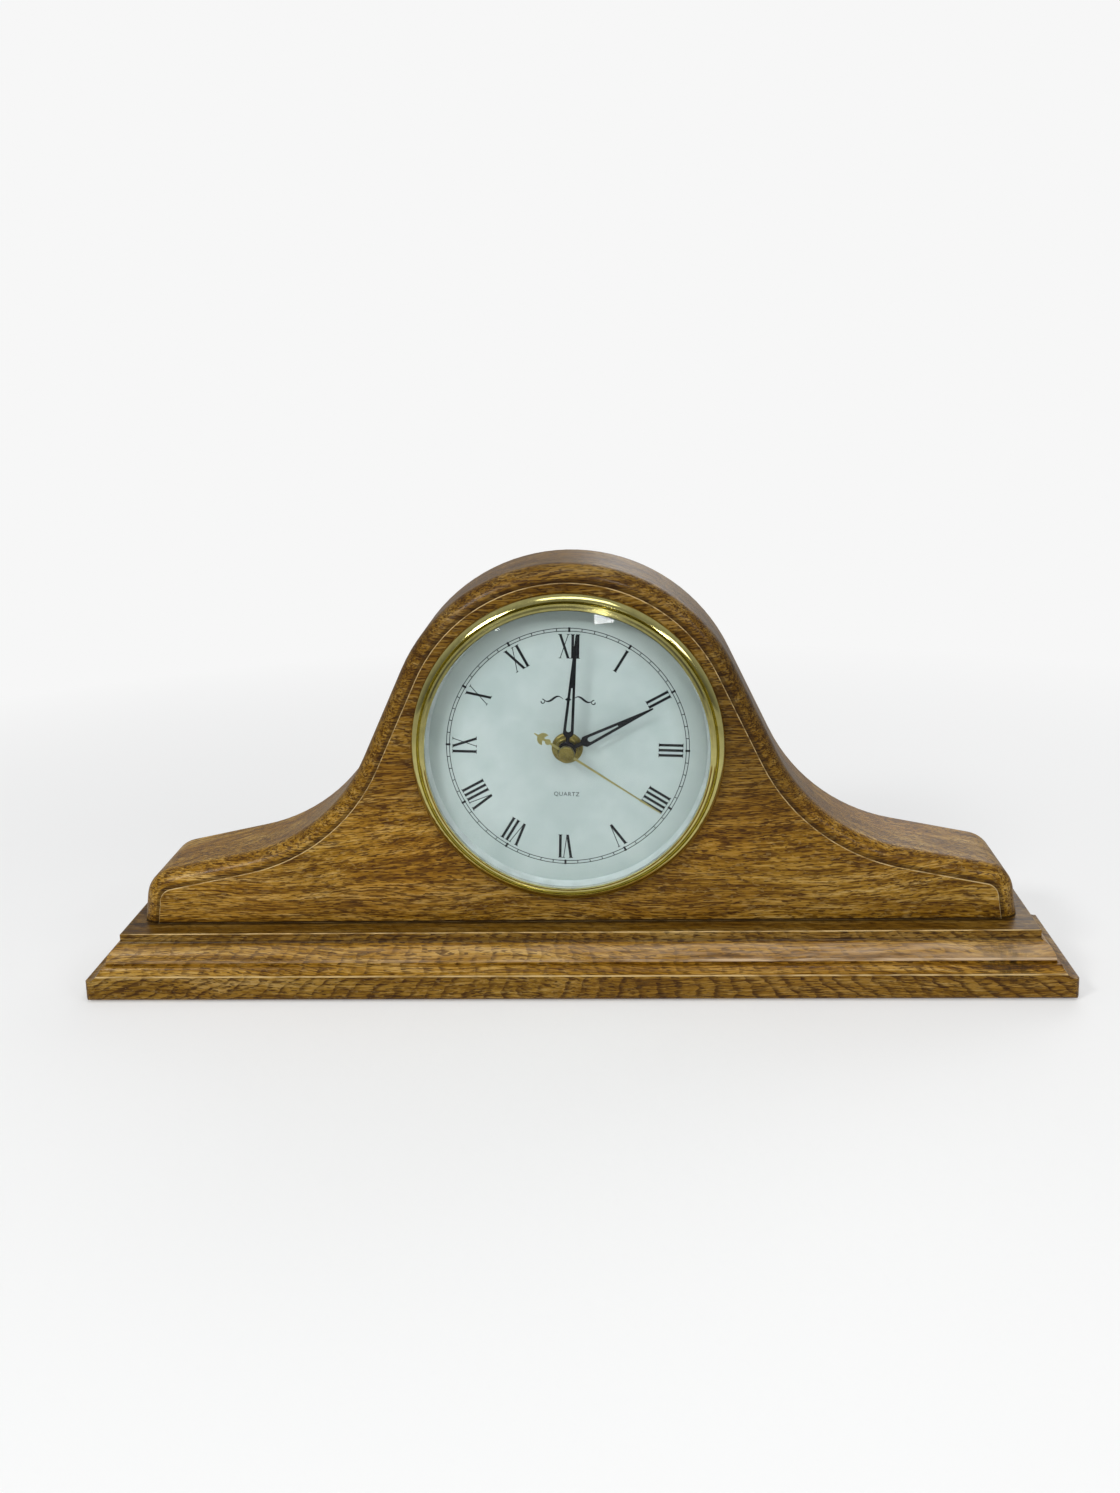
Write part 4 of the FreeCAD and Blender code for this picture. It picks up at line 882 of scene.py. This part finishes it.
def make_stage():
    bm = bmesh.new()
    bmesh.ops.create_circle(bm, cap_ends=True, radius=FLOOR_RADIUS, segments=64)
    mesh = bpy.data.meshes.new("floor")
    bm.to_mesh(mesh)
    bm.free()
    floor = bpy.data.objects.new("floor", mesh)
    bpy.context.scene.collection.objects.link(floor)
    g = Graph("floor", Roughness=0.7)
    g.shader.inputs["Base Color"].default_value = FLOOR_TINT
    x, y, _ = g.parts(g.place())
    glow = g.node("ShaderNodeEmission")
    glow.inputs["Color"].default_value = STUDIO_WHITE
    # Glossy surfaces mirror a dimmer floor than the camera sees.
    gloss = g.node("ShaderNodeLightPath").outputs["Is Glossy Ray"]
    g.join(g.span(gloss, 0.0, 1.0, 1.0, FLOOR_IN_MIRRORS), glow.inputs["Strength"])
    # The floor turns from a lit surface near the clock to an even glow far away.
    g.surface(g.span(g.hypot(x, y), 250.0, 800.0, 0.35, 1.0),
              g.shader.outputs["BSDF"], glow.outputs["Emission"])
    dress(floor, g.mat)


def area_light(name, place, size, power):
    light = bpy.data.lights.new(name, "AREA")
    light.shape = "RECTANGLE"
    light.size, light.size_y = size
    light.energy = power
    obj = bpy.data.objects.new(name, light)
    bpy.context.scene.collection.objects.link(obj)
    obj.location = place
    direction = Vector(LAMP_TARGET) - Vector(place)
    obj.rotation_euler = direction.to_track_quat("-Z", "Y").to_euler()


def make_light():
    """Area lamps in a pale room, brighter high up behind the clock. The camera sees plain
    white instead."""
    world = bpy.data.worlds.new("studio")
    bpy.context.scene.world = world
    world.use_nodes = True
    tree = world.node_tree
    tree.nodes.clear()
    out = tree.nodes.new("ShaderNodeOutputWorld")
    back = tree.nodes.new("ShaderNodeBackground")
    plain = tree.nodes.new("ShaderNodeBackground")
    both = tree.nodes.new("ShaderNodeMixShader")
    ray = tree.nodes.new("ShaderNodeLightPath")
    coords = tree.nodes.new("ShaderNodeTexCoord")
    aim = tree.nodes.new("ShaderNodeVectorMath")
    aim.operation = "DOT_PRODUCT"
    aim.inputs[1].default_value = SKY_UP
    ramp = tree.nodes.new("ShaderNodeValToRGB")
    lift = tree.nodes.new("ShaderNodeMapRange")
    lift.inputs["From Min"].default_value = -1.0
    tree.links.new(coords.outputs["Generated"], aim.inputs[0])
    tree.links.new(aim.outputs["Value"], lift.inputs["Value"])
    tree.links.new(lift.outputs[0], ramp.inputs["Fac"])
    stops = ramp.color_ramp.elements
    stops[0].position, stops[0].color = SKY_LOW
    stops[1].position, stops[1].color = SKY_HIGH
    tree.links.new(ramp.outputs["Color"], back.inputs["Color"])
    back.inputs["Strength"].default_value = SKY_STRENGTH
    plain.inputs["Color"].default_value = STUDIO_WHITE
    plain.inputs["Strength"].default_value = 1.0
    tree.links.new(ray.outputs["Is Camera Ray"], both.inputs[0])
    tree.links.new(back.outputs[0], both.inputs[1])
    tree.links.new(plain.outputs[0], both.inputs[2])
    tree.links.new(both.outputs[0], out.inputs["Surface"])
    for lamp in LAMPS:
        area_light(*lamp)


def main():
    scene = bpy.context.scene
    scene.view_settings.view_transform = "Standard"
    make_camera()
    looks = make_materials()
    for node, look in LOOKS.items():
        dress(NODES[node], looks[look])
    dial_numerals(looks["ink"])
    dial_track(looks["ink"])
    dial_ornament(looks["ink"])
    smooth_lens(looks["lens"])
    letters_on_dial("dial_word", "QUARTZ", looks["ink"])
    make_stage()
    make_light()


main()
